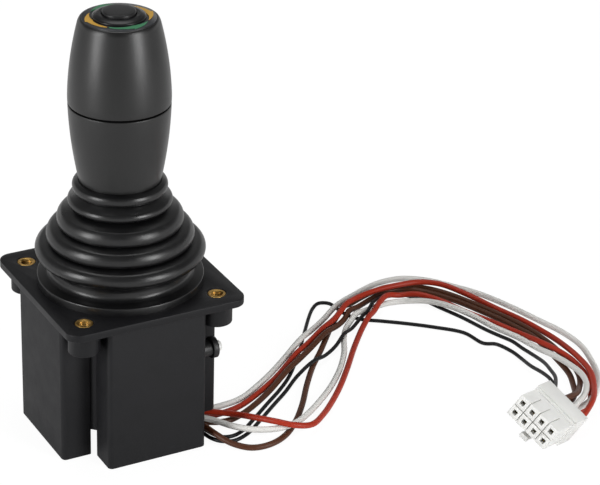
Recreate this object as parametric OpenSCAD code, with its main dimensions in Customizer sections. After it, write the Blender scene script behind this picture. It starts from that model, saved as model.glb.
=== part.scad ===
// Two-axis industrial joystick with a twist grip, a push button and a wired connector.
// +Z runs up the lever. The origin is the middle of the surface that the sensor pods stand on.
// The lever tilts about X on a gimbal ring and about Y on its own pin; a slotted bail follows
// the second tilt, so that each axis turns a shaft that a fixed sensor can read.

/* [Flange] */
// Side of the square mounting flange
flange_w = 60; // [58:1:66]
// Thickness of the flange plate
flange_t = 2.5; // [2.2:0.1:4]
// Radius of the flange corners
flange_corner_r = 4.5; // [2:0.5:7]
// Distance between neighbouring threaded inserts
insert_pitch = 45; // [44:0.5:46]
// Outer diameter of a threaded insert
insert_od = 5.6; // [5:0.1:6.2]
// Bore of a threaded insert, the core diameter of its M4 thread
insert_bore = 3.3; // [3:0.1:3.6]
// Length of a threaded insert
insert_len = 8; // [6:0.5:9]
// Diameter of the boss round each insert
boss_d = 10; // [9:0.5:10.5]
// Depth of a boss below the flange plate
boss_depth = 7.1; // [6:0.1:9]

/* [Housing] */
// Height of the pods, from the surface to the underside of the flange
pod_h = 48.8; // [48:0.2:52]
// Side of the square core housing
core_w = 36; // [36:0.5:37]
// Wall of the core housing
core_wall = 2; // [1.6:0.1:2.2]
// Chamfer on the upright corners of the core
core_chamfer = 2.2; // [1.5:0.1:3]
// Open height under the core, where the wires leave
core_lift = 8.8; // [8.4:0.1:9.2]
// Width of a pod
pod_w = 33.4; // [32:0.2:34.4]
// Depth of the front, rear and left pods, outwards from the core
pod_depth = 9.7; // [9:0.1:11]
// Depth of the shallow right pod
short_pod_depth = 7.5; // [7.2:0.1:9]
// Height of the right pod above the surface
short_pod_lift = 5.2; // [5:0.1:7]
// Wall of a pod
pod_wall = 1.8; // [1.4:0.1:2]
// Radius on the outer upright edges of a pod
pod_edge_r = 1.5; // [0.5:0.1:2.5]
// Thickness of the cover that closes the core from below
cover_t = 2; // [1.6:0.1:2.4]

/* [Mechanism] */
// Depth of the two tilt axes below the flange plate
pivot_drop = 10.8; // [10.2:0.1:11.2]
// Diameter of every pivot pin
pin_d = 3; // [2.6:0.1:3.2]
// Radius of the gimbal ring
gimbal_r = 12; // [11:0.1:12.2]
// Height of the gimbal ring
gimbal_h = 6; // [5:0.5:7]
// Diameter of the lever's hub, where its pivot pin passes
hub_d = 9; // [8.6:0.1:9.6]
// Diameter of the lever between the hub and the grip
lever_d = 8; // [7.6:0.1:8.2]
// Diameter of the lever's lower tip
tip_d = 5; // [4.6:0.1:5.4]
// Reach of the lever's tip below the tilt axes
tip_reach = 19; // [18.4:0.1:19.4]
// Diameter of the spindle that carries the twist grip
spindle_d = 6; // [5.4:0.1:6.2]
// Thickness of the bail's strap
bail_t = 1.8; // [1.6:0.1:2]
// Depth of the bail's slotted bar below the tilt axes
bail_drop = 15; // [14.6:0.1:15.4]
// Side of the square opening that limits the lever
limit_w = 20; // [19.6:0.1:21]

/* [Grip] */
// Height of the grip's lower end above the flange, inside the collar of the bellows
grip_rise = 32.7; // [32:0.1:34]
// Length of the lower grip, up to the seam
lower_grip_h = 27.3; // [26:0.1:29]
// Gap at the seam
seam_gap = 0.5; // [0.4:0.1:0.8]
// Length of the twist grip, from the seam to its top rim
upper_grip_h = 27; // [26:0.1:30]
// Height of the widest place of the grip above the seam
belly_rise = 2.7; // [1:0.1:4]
// Radius of the grip at its widest place
belly_r = 15.9; // [15.6:0.05:16.6]
// Wall of the twist grip
grip_wall = 2.4; // [2:0.1:2.8]
// Diameter of the push button
button_d = 10.4; // [9.6:0.1:10.6]
// Outer diameter of the button's bezel
bezel_d = 16.4; // [15.6:0.1:17]
// Height of the button above the rim of the grip
button_rise = 2.4; // [2:0.1:3]
// Travel of the push button
button_travel = 1.5; // [1:0.1:1.8]

/* [Bellows] */
// Wall of the rubber bellows
bellows_wall = 0.9; // [0.7:0.1:1]
// Radius of the bellows' foot on the flange
bellows_foot_r = 26.2; // [25.8:0.1:26.6]
// Height of the bellows' foot
bellows_foot_h = 2.5; // [2:0.1:3]

/* [Connector] */
// Pitch of the contacts
contact_pitch = 4.2; // [4.1:0.05:4.3]
// Length of the connector housing
plug_len = 21.5; // [20:0.5:24]
// Diameter of the thick wires
wire_d = 2; // [1.6:0.1:2]
// Diameter of the thin black wires
thin_wire_d = 1.3; // [1:0.1:1.3]

/* [Hidden] */
$fn = 64;

// Clearances
fit = 0.05;            // radial gap of a pin in its running bore
press = 0.02;          // radial gap of a pressed or glued piece in its seat
seat = 0.1;            // gap round a piece that drops into a recess
free_gap = 0.45;       // gap of the lever's tip in the bail's slot

// Heights of the housing
flange_z0 = pod_h;
flange_top = flange_z0 + flange_t;
core_half = core_w / 2;
core_in = core_half - core_wall;
core_floor = core_lift + cover_t;
pod_in = core_half;    // a pod starts at the core's outer face
pivot_z = pod_h - pivot_drop;
grip_z0 = flange_top + grip_rise;
seam_z = grip_z0 + lower_grip_h;
grip_top_z = seam_z + seam_gap + upper_grip_h;
belly_z = seam_z + belly_rise;
pin_r = pin_d / 2;

// Flange opening, with the ledge that the restrictor plate clamps
opening_r = 21;
ledge_r = 19;
ledge_h = 1;

// Screws
screw_d = 2.5;
screw_head_d = 4.4;
screw_head_h = 1.4;
cover_screw_at = 13.2;   // offset of the cover screws from the middle, along X and along Y
top_screw_at = 12.6;
screw_boss_d = 5.2;
cover_boss_top = core_floor + 7.7;
top_boss_z0 = pod_h - 6.8;

// Bearings in the core's walls
bearing_flange_d = 8;
bearing_flange_t = 1;
bearing_d = 6;
bearing_end = core_half + 0.4;

// Bail
bail_in = 13;                          // inner face of a bail arm
bail_out = bail_in + bail_t;
bail_half = 5.4;
bail_slot_w = tip_d + 2 * free_gap;
tilt = 20;                             // tilt to each side
bail_slot_half = (bail_drop + bail_t) * tan(tilt) + tip_d / 2 / cos(tilt) + free_gap;

// Pieces at the ends of the shafts, outside the core
sensor_t = 5;
sensor_w = 14;
spring_wire_d = 0.8;
spring_coil_r = 3.7;
spring_x0 = core_half + 0.9;
spring_turns = 1;
spring_pitch = 0.86;     // from one turn to the next
peg_d = 2;
moving_peg = 9;                        // distance of the moving peg from the shaft
fixed_peg = 12.5;
arm_t = 1.4;
arm_x0 = spring_x0 + 2.6;
shaft_end = arm_x0 + arm_t + 0.2;
sensor_shaft_end = core_half + sensor_t + 0.6;

// Lever
hub_h = 16;
spindle_z0 = grip_z0 + 13;
grip_hub_z = spindle_z0;               // floor of the pocket in the lower grip
pocket_r = 12.5;
nut_h = 3;
nut_flat = 10;
washer_d = 6;
ring_in_r = 7.6;                       // inner radius of the gimbal ring
washer_end = sqrt(pow(ring_in_r, 2) - pow(washer_d / 2, 2)) - 0.25;

// Twist carrier
carrier_z0 = seam_z - 7.3;
web_z0 = seam_z + 4.7;
web_t = 2.5;
carrier_top = web_z0 + web_t + 5;
spindle_top = carrier_top + 1.1;
stop_z0 = seam_z - 5.3;                // foot of the two stops in the lower grip
bush_wall = 1.6;
carrier_hub_r = 7;
twist_limit = 32;

// Button and its bezel
deck_t = 2.3;
disc_t = 0.8;
disc_r = 11.4;
disc_top = grip_top_z + 0.2;
disc_z0 = disc_top - disc_t;
bezel_sleeve_r = 7;
bezel_step = 0.6;
sleeve_z0 = grip_top_z - 3.2;
cap_top = grip_top_z + button_rise;
cap_lip_r = 6.2;
cap_lip_t = 0.8;
cap_z0 = sleeve_z0 - 0.3 - cap_lip_t;
button_r = button_d / 2;
switch_top = cap_z0 - button_travel - 0.5;
switch_r = 9;
stem_r = 1.5;

// Radius of the grip at height z: widest at the belly, slimmer to both ends
function grip_r(z) = z > belly_z
    ? belly_r - 0.03 * (z - belly_z) - 0.0047 * pow(z - belly_z, 2)
    : belly_r - 0.01 * (belly_z - z) - 0.0036 * pow(belly_z - z, 2);

// Folds of the bellows from the flange up: middle radius, height, reach, rise, lip angle
bellows_folds = [
    [22.5, flange_top + 0.34 * grip_rise, 4.2, 3.1, -60],
    [19.3, flange_top + 0.49 * grip_rise, 3.85, 3.5, -28],
    [15.8, flange_top + 0.658 * grip_rise, 4.0, 3.7, -25],
    [13.6, flange_top + 0.848 * grip_rise, 2.7, 1.9, -45],
    [13.5, grip_z0 - 0.1, 1.35, 1.7, -70]];
fold_end = 75;
groove_depth = 2.2;

// Connector: middle of its wire face, then its turns about X, Y and Z
plug_pos = [122.4, -70.1, 8.7];
plug_turn = [-29, -16, 211];
plug_rear_w = 17.4;
plug_rear_h = 10.3;
plug_rear_len = 9.5;
silo_len = 8;
silo_w = 3.9;
cavity_w = 1.6;
contact_w = 1.3;
row_offset = contact_pitch / 2;

function turn_x(p, a) = [p[0], p[1] * cos(a) - p[2] * sin(a), p[1] * sin(a) + p[2] * cos(a)];
function turn_y(p, a) = [p[0] * cos(a) + p[2] * sin(a), p[1], -p[0] * sin(a) + p[2] * cos(a)];
function turn_z(p, a) = [p[0] * cos(a) - p[1] * sin(a), p[0] * sin(a) + p[1] * cos(a), p[2]];
// A point of the connector's own frame, in the frame of the joystick
function plug_at(p) = plug_pos
    + turn_z(turn_y(turn_x(p, plug_turn[0]), plug_turn[1]), plug_turn[2]);

// Strain relief block under the cover: the wires leave its side in two layers
grommet_pos = [2.5, -7.5];
grommet_size = [7, 15.4];
grommet_lip = 0.8;
grommet_z0 = 0.3;
wire_exit_x = grommet_pos[0] + grommet_size[0] / 2 - 1;
function wire_start(y, z) = [[wire_exit_x, y, z], [wire_exit_x + 2.5, y, z]];
// Last stretch into the connector: column 0 to 3, row -1 or 1
function wire_end(column, row) = [for (back = [-4, 0])
    plug_at([back, (column - 1.5) * contact_pitch, row * row_offset])];

// Routes over the surface, from the grommet to the connector
white_route_1 = concat(wire_start(-2, 1.3), [[12, -3.8, 1.1], [18, -6.5, 1],
    [24, -8.3, 1], [31, -9, 1], [39, -7.8, 1], [47, -3.4, 1], [56, 2.6, 1.2], [64, 8.5, 1.7],
    [70, 13, 2.4], [75.6, 17, 2.9], [81, 20.9, 2.2], [89, 26.7, 1.8], [97.4, 32.4, 2.7], [108, 38.9, 1.3],
    [119, 43.2, 1], [129, 43.3, 1], [137, 38.5, 1], [143, 31, 1], [149.5, 20.5, 1], [154, 8.5, 1],
    [157.5, -4, 1], [160.5, -15.5, 1], [161, -26, 1], [158.5, -36, 1], [154.5, -46, 1.2], [147.5, -56, 3], [139.5, -63, 4.2], [133, -66, 4.6]], wire_end(2, -1));
red_route_1 = concat(wire_start(-4.7, 1.3), [[12, -6.5, 1.1], [18, -9.8, 1],
    [25, -13, 1], [32, -13.1, 1], [39, -11, 1], [48, -5.9, 1], [56, -0.6, 1], [62, 3.7, 1.6],
    [68.5, 8.4, 2.6], [74, 12, 2.5], [79, 15.3, 2.8], [84.5, 18.9, 3.3], [91, 22.8, 3.4], [95.5, 26, 4],
    [99.3, 28.9, 4.6], [104, 31.8, 4], [111, 34.5, 3.4], [118, 35.4, 3.4], [125, 35.2, 3.4],
    [132, 34, 3.4], [138.4, 29.3, 3.3], [144, 21, 2], [148.8, 9.5, 1], [152.5, -2, 1], [154.5, -13, 1.2], [154.5, -23.5, 2.2], [152, -37.5, 4.4], [149, -49, 5.5], [144, -58.5, 5.8], [137.5, -67, 6.8]], wire_end(3, 1));
brown_route_1 = concat(wire_start(-7.4, 1.3), [[12, -9.4, 1.1], [18, -12.8, 1],
    [23.5, -16.6, 1], [29, -18.4, 1], [35, -16.8, 1], [42, -13, 1], [50, -7.5, 1], [57, -2.6, 1.9],
    [62, 0.8, 2.6], [67, 4.2, 2.5], [74, 9, 2.7], [83.5, 15.3, 3.5], [91, 20.1, 2.3], [96, 24, 1.8],
    [99.6, 27.1, 2.7], [105, 30.4, 1.4], [112, 34, 1], [119, 36.5, 1], [125, 36, 1], [130, 33, 1],
    [134.8, 27.4, 1], [139.2, 19.5, 1], [142.9, 10, 1], [146, 1, 1], [148, -7, 1], [149.5, -14, 1], [149, -23, 1], [148, -32, 1], [146.5, -40.5, 1], [143.5, -47.5, 1.1], [139, -55, 2.6], [132, -62, 5]], wire_end(1, -1));
black_route_1 = concat(wire_start(-10, 1.3), [[11.5, -11.6, 0.8], [15, -13.2, 0.7],
    [17.8, -15, 0.7], [19.8, -17.8, 0.7], [20.8, -21.2, 0.7], [22, -24.4, 0.7], [24.2, -26.6, 0.7],
    [27.6, -26.9, 0.7],
    [32, -24.9, 0.7], [38, -20.3, 0.7], [46, -13.9, 0.7], [54, -7.6, 0.7], [60.5, -1.6, 0.7],
    [67, 6, 0.7], [73.5, 14.5, 0.7], [80, 23.5, 0.7], [86, 31.7, 0.7], [90.3, 36.9, 0.7],
    [94.2, 39.7, 0.7], [97.6, 38, 0.7], [98.4, 33, 0.7], [99.2, 28, 0.7], [102.2, 23, 0.7],
    [108, 18.8, 0.7], [115, 13.5, 0.7], [122.5, 7, 0.7], [129.5, -0.5, 0.7], [131.5, -9.5, 0.7], [135.5, -12.5, 0.7], [137.5, -19, 0.7], [137.5, -25, 1], [136, -33, 2.6], [135, -41.5, 4.6], [133.5, -48.5, 6], [130.5, -55.5, 6.8]], wire_end(0, -1));
white_route_2 = concat(wire_start(-7.7, 3.9), [[11.5, -9.5, 3.7], [15.2, -11.7, 3.5], [19, -14.6, 3.4],
    [23.5, -19.6, 3.4], [27.5, -25.5, 3.3], [33, -30.5, 3.3], [40, -33, 3.3], [47, -32.2, 3.3],
    [54, -28, 3], [62, -21, 1.8], [70, -13.5, 1], [78, -5, 1], [85, 4.5, 1], [89.8, 13.3, 1],
    [93.5, 18.6, 1.1], [97, 21.6, 1.8], [100.8, 24.3, 2.7], [105, 26.7, 1.4], [110, 28.2, 1],
    [116, 28.9, 1], [122.5, 27.6, 1], [128, 22.8, 2.1], [132.5, 15.8, 2.8], [137, 7.5, 2.2],
    [140.9, -2, 1], [144.5, -12, 1], [146, -21.5, 1.4], [146.5, -31.5, 3.2], [146.5, -40.5, 4.4], [146, -48, 5], [143, -55.5, 5.8], [137.5, -62.5, 6.8], [131, -67.5, 7.6]], wire_end(2, 1));
red_route_2 = concat(wire_start(-4.6, 3.9), [[13, -6.9, 3.6], [19.5, -11, 3.4],
    [25.5, -15, 3.4], [31, -20, 3.9], [35, -26.5, 5.1], [39, -32.5, 5.9], [44.5, -36, 4.9],
    [51, -35.5, 3.3], [58, -30, 2.2], [65.5, -22.5, 1.2], [73, -14.5, 1], [81, -5, 1], [88.5, 4.5, 1],
    [94.5, 11.6, 1.1], [99, 16.4, 1.6], [103.6, 20.4, 2.7], [107.5, 23.5, 2.5], [111.5, 26.8, 3.4],
    [117, 30.8, 3], [122.3, 31, 1.8], [127.3, 27.6, 2.7], [132.6, 21.3, 2.2], [137.5, 12.5, 1],
    [142.8, 0, 1], [146.5, -10.5, 1.2], [147.5, -20.5, 3], [149.5, -30, 3.4], [150, -38.5, 3.4], [148.5, -48, 3.1], [146.5, -53.5, 1.3], [141.5, -60, 1.3], [134.5, -64.5, 1.8]], wire_end(3, -1));
brown_route_2 = concat(wire_start(-10.8, 3.9), [[11, -12.2, 3.7], [14.8, -14.2, 3.4], [17.9, -17, 3.3],
    [19.4, -21.5, 3.2], [20.6, -27, 3], [23.5, -32.4, 1.8], [28.5, -36.4, 1], [35, -37.2, 1],
    [42, -34.3, 1], [49, -28, 1], [56, -19.5, 1], [63, -9.5, 1], [70.5, 0.3, 1], [78, 8.6, 1],
    [84, 15.6, 1], [90, 22.6, 1], [95, 27.3, 1.7], [99, 30.4, 2.7], [104, 33.4, 1.6], [111, 37, 1],
    [118, 39.2, 1], [124, 39.2, 1], [130, 36.4, 1], [135.4, 31.4, 1], [139.9, 24.2, 1], [143.9, 14.5, 1], [147.5, 4.5, 1], [150, -4, 1], [151.5, -12.5, 1], [152, -21, 1], [151.5, -29.5, 1], [150.5, -38, 1], [147.5, -45.5, 1.4], [141, -54.5, 4.2], [134, -62.5, 8]], wire_end(1, 1));
black_route_2 = concat(wire_start(-12.3, 1.3), [[11, -13.7, 0.8], [14, -14.9, 0.7],
    [16.5, -16.3, 0.7], [18.2, -18.7, 0.7], [19, -22, 0.7], [20, -25.6, 0.7], [22.2, -28.5, 0.7],
    [26.2, -29.8, 0.7],
    [32, -27.6, 0.7], [39, -22.3, 0.7], [47, -15.9, 0.7], [55, -9.6, 0.7], [62.5, -3.6, 1.5],
    [70.6, 0.6, 3], [77.5, 4.2, 1.9], [84, 8.5, 1.9], [89.5, 12.8, 3], [95, 16.8, 2],
    [101.7, 22, 2.3], [105.5, 24.6, 2.3], [109, 27.7, 3], [113.2, 31.4, 2.1], [118.5, 33.6, 0.8],
    [124.3, 32.4, 0.7], [128.9, 26.2, 0.7], [131.7, 18, 0.7], [134.8, 9, 0.7], [137.5, -1.5, 0.7], [139.5, -7.5, 0.7], [141.5, -13, 0.7], [142, -18.5, 0.7], [141.5, -26.5, 2], [139.5, -35.5, 4.4], [136, -44.5, 7], [132.5, -52.5, 9]], wire_end(0, 1));

// ---------------------------------------------------------------- helpers

function unit(v) = v / norm(v);

// One point of a Catmull-Rom curve between b and c
function between(a, b, c, d, t) = 0.5 * (2 * b + (c - a) * t + (2 * a - 5 * b + 4 * c - d) * t * t
    + (3 * b - a - 3 * c + d) * t * t * t);

// A route with one more point halfway along each stretch
function smooth(p) = [for (i = [0 : len(p) - 1])
    for (t = i < len(p) - 1 ? [0, 0.5] : [0])
        t == 0 ? p[i] : between(p[max(i - 1, 0)], p[i], p[i + 1], p[min(i + 2, len(p) - 1)], t)];

function tangents(p) = [for (i = [0 : len(p) - 1])
    unit(p[min(i + 1, len(p) - 1)] - p[max(i - 1, 0)])];

// A normal at each point, carried along without twist
function normals(t, start, i = 0) = i == len(t) ? []
    : let (n = unit(start - (start * t[i]) * t[i])) concat([n], normals(t, n, i + 1));

// Round tube along a path
module tube(path, r, sides = 8, start = [1, 0, 0]) {
    t = tangents(path);
    n = normals(t, start);
    last = len(path) - 1;
    points = [for (i = [0 : last]) for (j = [0 : sides - 1])
        path[i] + r * (cos(360 * j / sides) * n[i] + sin(360 * j / sides) * cross(t[i], n[i]))];
    sides_list = [for (i = [0 : last - 1]) for (j = [0 : sides - 1])
        let (k = (j + 1) % sides)
        [i * sides + j, (i + 1) * sides + j, (i + 1) * sides + k, i * sides + k]];
    ends = [[for (j = [0 : sides - 1]) j], [for (j = [sides - 1 : -1 : 0]) last * sides + j]];
    polyhedron(points = points, faces = concat(sides_list, ends), convexity = 10);
}

// Round bar along X, Y or Z, from a to b on that axis
module bar_x(r, a, b) { translate([a, 0, 0]) rotate([0, 90, 0]) cylinder(r = r, h = b - a); }
module bar_y(r, a, b) { translate([0, b, 0]) rotate([90, 0, 0]) cylinder(r = r, h = b - a); }
module bar_z(r, a, b) { translate([0, 0, a]) cylinder(r = r, h = b - a); }

// Ring round Z
module ring_z(r_out, r_in, a, b) {
    difference() {
        bar_z(r_out, a, b);
        bar_z(r_in, a - 1, b + 1);
    }
}

// Flat square with rounded corners
module rounded_square(w, r) {
    union() {
        square([w, w - 2 * r], center = true);
        square([w - 2 * r, w], center = true);
        for (x = [-1, 1], y = [-1, 1]) translate([x * (w / 2 - r), y * (w / 2 - r)]) circle(r = r);
    }
}

// The four corners at a distance from the middle along X and along Y
module at_corners(d) { for (x = [-d, d], y = [-d, d]) translate([x, y, 0]) children(); }

// Square with chamfered corners
module chamfered_square(half, c) {
    polygon([[half - c, -half], [half, c - half], [half, half - c], [half - c, half],
        [c - half, half], [-half, half - c], [-half, c - half], [c - half, -half]]);
}

// ---------------------------------------------------------------- flange and housing

module mounting_flange() {
    color("#303032")
    difference() {
        union() {
            translate([0, 0, flange_z0]) linear_extrude(flange_t)
                rounded_square(flange_w, flange_corner_r);
            at_corners(insert_pitch / 2) bar_z(boss_d / 2, flange_z0 - boss_depth, flange_z0 + 0.5);
        }
        bar_z(ledge_r, flange_z0 - 1, flange_top + 1);
        bar_z(opening_r, flange_z0 + ledge_h, flange_top + 1);
        at_corners(insert_pitch / 2) bar_z(insert_od / 2 + press, flange_top - insert_len, flange_top + 1);
        at_corners(insert_pitch / 2) bar_z(insert_bore / 2, flange_z0 - boss_depth + 0.6, flange_top);
        at_corners(insert_pitch / 2)
            translate([0, 0, flange_top - 0.4]) cylinder(r1 = insert_od / 2, r2 = insert_od / 2 + 0.45, h = 0.41);
    }
}

module threaded_inserts() {
    color("#c9a25a")
    at_corners(insert_pitch / 2)
        difference() {
            union() {
                bar_z(insert_od / 2, flange_top - insert_len, flange_top - 5.2);
                bar_z(insert_od / 2 - 0.4, flange_top - 5.2, flange_top - 4.4);
                bar_z(insert_od / 2, flange_top - 4.4, flange_top - 0.15);
            }
            bar_z(insert_bore / 2, flange_z0 - boss_depth, flange_top + 1);
            translate([0, 0, flange_top - 0.55])
                cylinder(r1 = insert_bore / 2, r2 = insert_bore / 2 + 0.45, h = 0.45);
        }
}

module core_housing() {
    color("#454547")
    difference() {
        union() {
            translate([0, 0, core_lift]) linear_extrude(pod_h - core_lift)
                difference() {
                    chamfered_square(core_half, core_chamfer);
                    chamfered_square(core_in, core_chamfer);
                }
            at_corners(cover_screw_at) bar_z(screw_boss_d / 2, core_floor, cover_boss_top);
            at_corners(top_screw_at) bar_z(screw_boss_d / 2, top_boss_z0, pod_h);
            translate([0, 0, pivot_z - fixed_peg]) bar_x(peg_d / 2, core_half - 0.5, arm_x0 - 0.3);
            translate([0, 0, pivot_z - fixed_peg]) bar_y(peg_d / 2, core_half - 0.5, arm_x0 - 0.3);
        }
        translate([0, 0, pivot_z]) bar_x(bearing_d / 2 + press, -core_half - 1, core_half + 1);
        translate([0, 0, pivot_z]) bar_y(bearing_d / 2 + press, -core_half - 1, core_half + 1);
        at_corners(cover_screw_at) bar_z(screw_d / 2 + press, core_lift, cover_boss_top - 1);
        at_corners(top_screw_at) bar_z(screw_d / 2 + press, top_boss_z0 + 1, pod_h + 1);
    }
}

// Pod on the +X side of the core: a moulded box that the core and the flange close
module pod(depth, lift) {
    h = pod_h - lift;
    translate([0, 0, lift])
    difference() {
        union() {
            linear_extrude(h) union() {
                translate([pod_in, -pod_w / 2]) square([depth - pod_edge_r, pod_w]);
                translate([pod_in, -pod_w / 2 + pod_edge_r]) square([depth, pod_w - 2 * pod_edge_r]);
                for (y = [-1, 1]) translate([pod_in + depth - pod_edge_r, y * (pod_w / 2 - pod_edge_r)])
                    circle(r = pod_edge_r);
            }
        }
        translate([pod_in - 1, -pod_w / 2 + pod_wall, core_lift - lift])
            cube([depth - pod_wall + 1, pod_w - 2 * pod_wall, h]);
        if (core_lift - lift > 2 * pod_wall)
            translate([pod_in + pod_wall, -pod_w / 2 + pod_wall, pod_wall])
                cube([depth - 2 * pod_wall, pod_w - 2 * pod_wall, h]);
    }
}

side_bush_y = -pod_in - 4;       // the bush sits in the side wall of the front pod
side_bush_z = pod_h - 16.8;
bush_barrel_r = 2.5;
bush_flange_r = 3.5;
bush_flange_x = 20.5;
bush_flange_t = 2;
side_pin_r = 1.85;

module front_pod() {
    color("#3a3a3b")
    difference() {
        rotate([0, 0, -90]) pod(pod_depth, 0);
        translate([0, side_bush_y, side_bush_z])
            bar_x(bush_barrel_r + press, pod_w / 2 - pod_wall - 1, pod_w / 2 + 1);
    }
}

module rear_pod() { color("#3a3a3b") rotate([0, 0, 90]) pod(pod_depth, 0); }
module left_pod() { color("#3a3a3b") rotate([0, 0, 180]) pod(pod_depth, 0); }
module right_pod() { color("#3a3a3b") pod(short_pod_depth, short_pod_lift); }

module side_bush() {
    color("#1c1c1d")
    translate([0, side_bush_y, side_bush_z])
        difference() {
            union() {
                bar_x(bush_barrel_r, pod_w / 2 - pod_wall - 1, bush_flange_x + 0.5);
                bar_x(bush_flange_r, bush_flange_x, bush_flange_x + bush_flange_t);
                bar_x(bush_flange_r, pod_w / 2 - pod_wall - 1, pod_w / 2 - pod_wall);
            }
            bar_x(side_pin_r + press, 0, bush_flange_x + bush_flange_t + 1);
        }
}

module side_pin() {
    color("#d9d9d6")
    translate([0, side_bush_y, side_bush_z])
        union() {
            bar_x(side_pin_r, pod_w / 2 - pod_wall - 3, bush_flange_x + bush_flange_t + 1.2);
            translate([bush_flange_x + bush_flange_t + 1.2, 0, 0]) rotate([0, 90, 0])
                cylinder(r1 = side_pin_r, r2 = side_pin_r - 0.5, h = 0.6);
        }
}

module bottom_cover() {
    color("#2c2c2d")
    difference() {
        union() {
            translate([0, 0, core_lift]) linear_extrude(cover_t)
                chamfered_square(core_in - seat, core_chamfer);
            at_corners(9) bar_z(2, core_floor - 0.5, core_floor + 2.2);
        }
        at_corners(cover_screw_at) bar_z(screw_d / 2 + 0.15, core_lift - 1, core_floor + 1);
        at_corners(cover_screw_at) bar_z(screw_head_d / 2 + 0.1, core_lift - 1, core_lift + screw_head_h / 2);
        translate([grommet_pos[0] - grommet_size[0] / 2 + 1, grommet_pos[1] - grommet_size[1] / 2 + 1,
            core_lift - 1]) cube([grommet_size[0] - 2, grommet_size[1] - 2, 12]);
    }
}

module cover_screws() {
    color("#8d8f92")
    at_corners(cover_screw_at)
        difference() {
            union() {
                bar_z(screw_d / 2, core_lift, core_floor + 5);
                bar_z(screw_head_d / 2, core_lift - screw_head_h / 2, core_lift + screw_head_h / 2);
            }
            for (a = [0, 90]) rotate([0, 0, a])
                translate([-1.3, -0.3, core_lift - screw_head_h]) cube([2.6, 0.6, screw_head_h + 0.1]);
        }
}

board_z0 = core_floor + 2.2;
board_t = 1.6;

module circuit_board() {
    color("#1f5a38")
    difference() {
        union() {
            translate([0, 0, board_z0]) linear_extrude(board_t) chamfered_square(core_in - 0.4, 9.4);
            translate([-9, -3, board_z0 + board_t]) cube([6, 6, 1.2]);
            translate([-2, 6, board_z0 + board_t]) cube([8, 3, 1.4]);
        }
        at_corners(9) bar_z(1, board_z0 - 1, board_z0 + 5);
    }
}

// Rubber strain relief: a plug in the cover's cut-out, a lip under the cover and the block below it
module cable_grommet() {
    x = grommet_size[0] / 2;
    y = grommet_size[1] / 2;
    color("#1a1a1a")
    translate([grommet_pos[0], grommet_pos[1], 0])
        union() {
            translate([-x + 1 + seat, -y + 1 + seat, core_lift - 0.2])
                cube([2 * (x - 1 - seat), 2 * (y - 1 - seat), cover_t + 0.4]);
            translate([-x, -y, core_lift - grommet_lip]) cube([2 * x, 2 * y, grommet_lip]);
            translate([1 - x, 1 - y, grommet_z0])
                cube([2 * x - 2, 2 * y - 2, core_lift - grommet_lip / 2 - grommet_z0]);
        }
}

// Plate that carries the square opening, clamped on the flange's ledge
module restrictor_plate() {
    color("#b9bbbe")
    difference() {
        union() {
            bar_z(ledge_r - seat, flange_z0, flange_z0 + ledge_h + 0.5);
            bar_z(opening_r - seat, flange_z0 + ledge_h, flange_top);
        }
        translate([0, 0, flange_z0 - 1]) linear_extrude(flange_t + 2) rounded_square(limit_w, 3);
        at_corners(top_screw_at) bar_z(screw_d / 2 + 0.15, flange_z0 - 1, flange_top + 1);
    }
}

module restrictor_screws() {
    color("#8d8f92")
    at_corners(top_screw_at)
        difference() {
            union() {
                bar_z(screw_d / 2, top_boss_z0 + 2, flange_top + 0.5);
                bar_z(screw_head_d / 2, flange_top, flange_top + screw_head_h);
            }
            for (a = [0, 90]) rotate([0, 0, a])
                translate([-1.3, -0.3, flange_top + 0.7]) cube([2.6, 0.6, 2]);
        }
}

// ---------------------------------------------------------------- bellows

function fold_arc(f, shrink, from, to, n = 7) = [for (i = [0 : n])
    let (a = from + (to - from) * i / n)
    [f[0] + (f[2] - shrink) * cos(a), f[1] + (f[3] - shrink) * sin(a)]];

// Groove above fold i
function groove(i, shrink) = [
    bellows_folds[i + 1][0] + bellows_folds[i + 1][2] * cos(bellows_folds[i + 1][4]) - groove_depth
        + (i == 3 ? 1.6 : 0) - shrink,
    bellows_folds[i + 1][1] + bellows_folds[i + 1][3] * sin(bellows_folds[i + 1][4]) - 0.1];

module bellows() {
    last = len(bellows_folds) - 1;
    foot_r = bellows_foot_r;
    foot_top = flange_top + bellows_foot_h;
    outer = concat(
        [[foot_r, flange_top], [foot_r, foot_top - 0.4], [foot_r - 0.4, foot_top],
            [foot_r - 1.8, foot_top + 0.5], [foot_r - 2.4, foot_top + 2.6], [foot_r - 2.5, foot_top + 4.3],
            [foot_r - 3.6, foot_top + 5]],
        [for (i = [0 : last]) for (p = concat(
            fold_arc(bellows_folds[i], 0, bellows_folds[i][4], fold_end),
            i < last ? [groove(i, 0)] : [])) p]);
    inner = concat(
        [for (i = [last - 1 : -1 : 0]) for (p = concat(
            [groove(i, bellows_wall)],
            fold_arc(bellows_folds[i], bellows_wall, fold_end - 12, bellows_folds[i][4] + 22))) p],
        [[foot_r - 4.6, foot_top + 4.6], [foot_r - 4, foot_top + 2], [foot_r - 4, flange_top]]);
    neck = bellows_folds[last][0] - 0.2;
    color("#1b1b1c")
    rotate_extrude() polygon(concat(outer, [[neck, grip_z0 + 1.7], [neck, grip_z0 - 2.4]], inner));
}

module bellows_retaining_ring() {
    color("#3f3f41")
    ring_z(bellows_foot_r - 4.1, bellows_foot_r - 6, flange_top, flange_top + 2);
}

// ---------------------------------------------------------------- gimbal and bail

// Bearing bush on the +X side of the core, pressed into its wall
module bearing() {
    difference() {
        union() {
            bar_x(bearing_flange_d / 2, core_in - bearing_flange_t, core_in);
            bar_x(bearing_d / 2, core_in - 0.5, bearing_end);
        }
        bar_x(pin_r + fit, 0, core_half + 5);
    }
}

module gimbal_bearings() {
    color("#b08d57")
    translate([0, 0, pivot_z]) for (a = [0, 180]) rotate([0, 0, a]) bearing();
}

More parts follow.
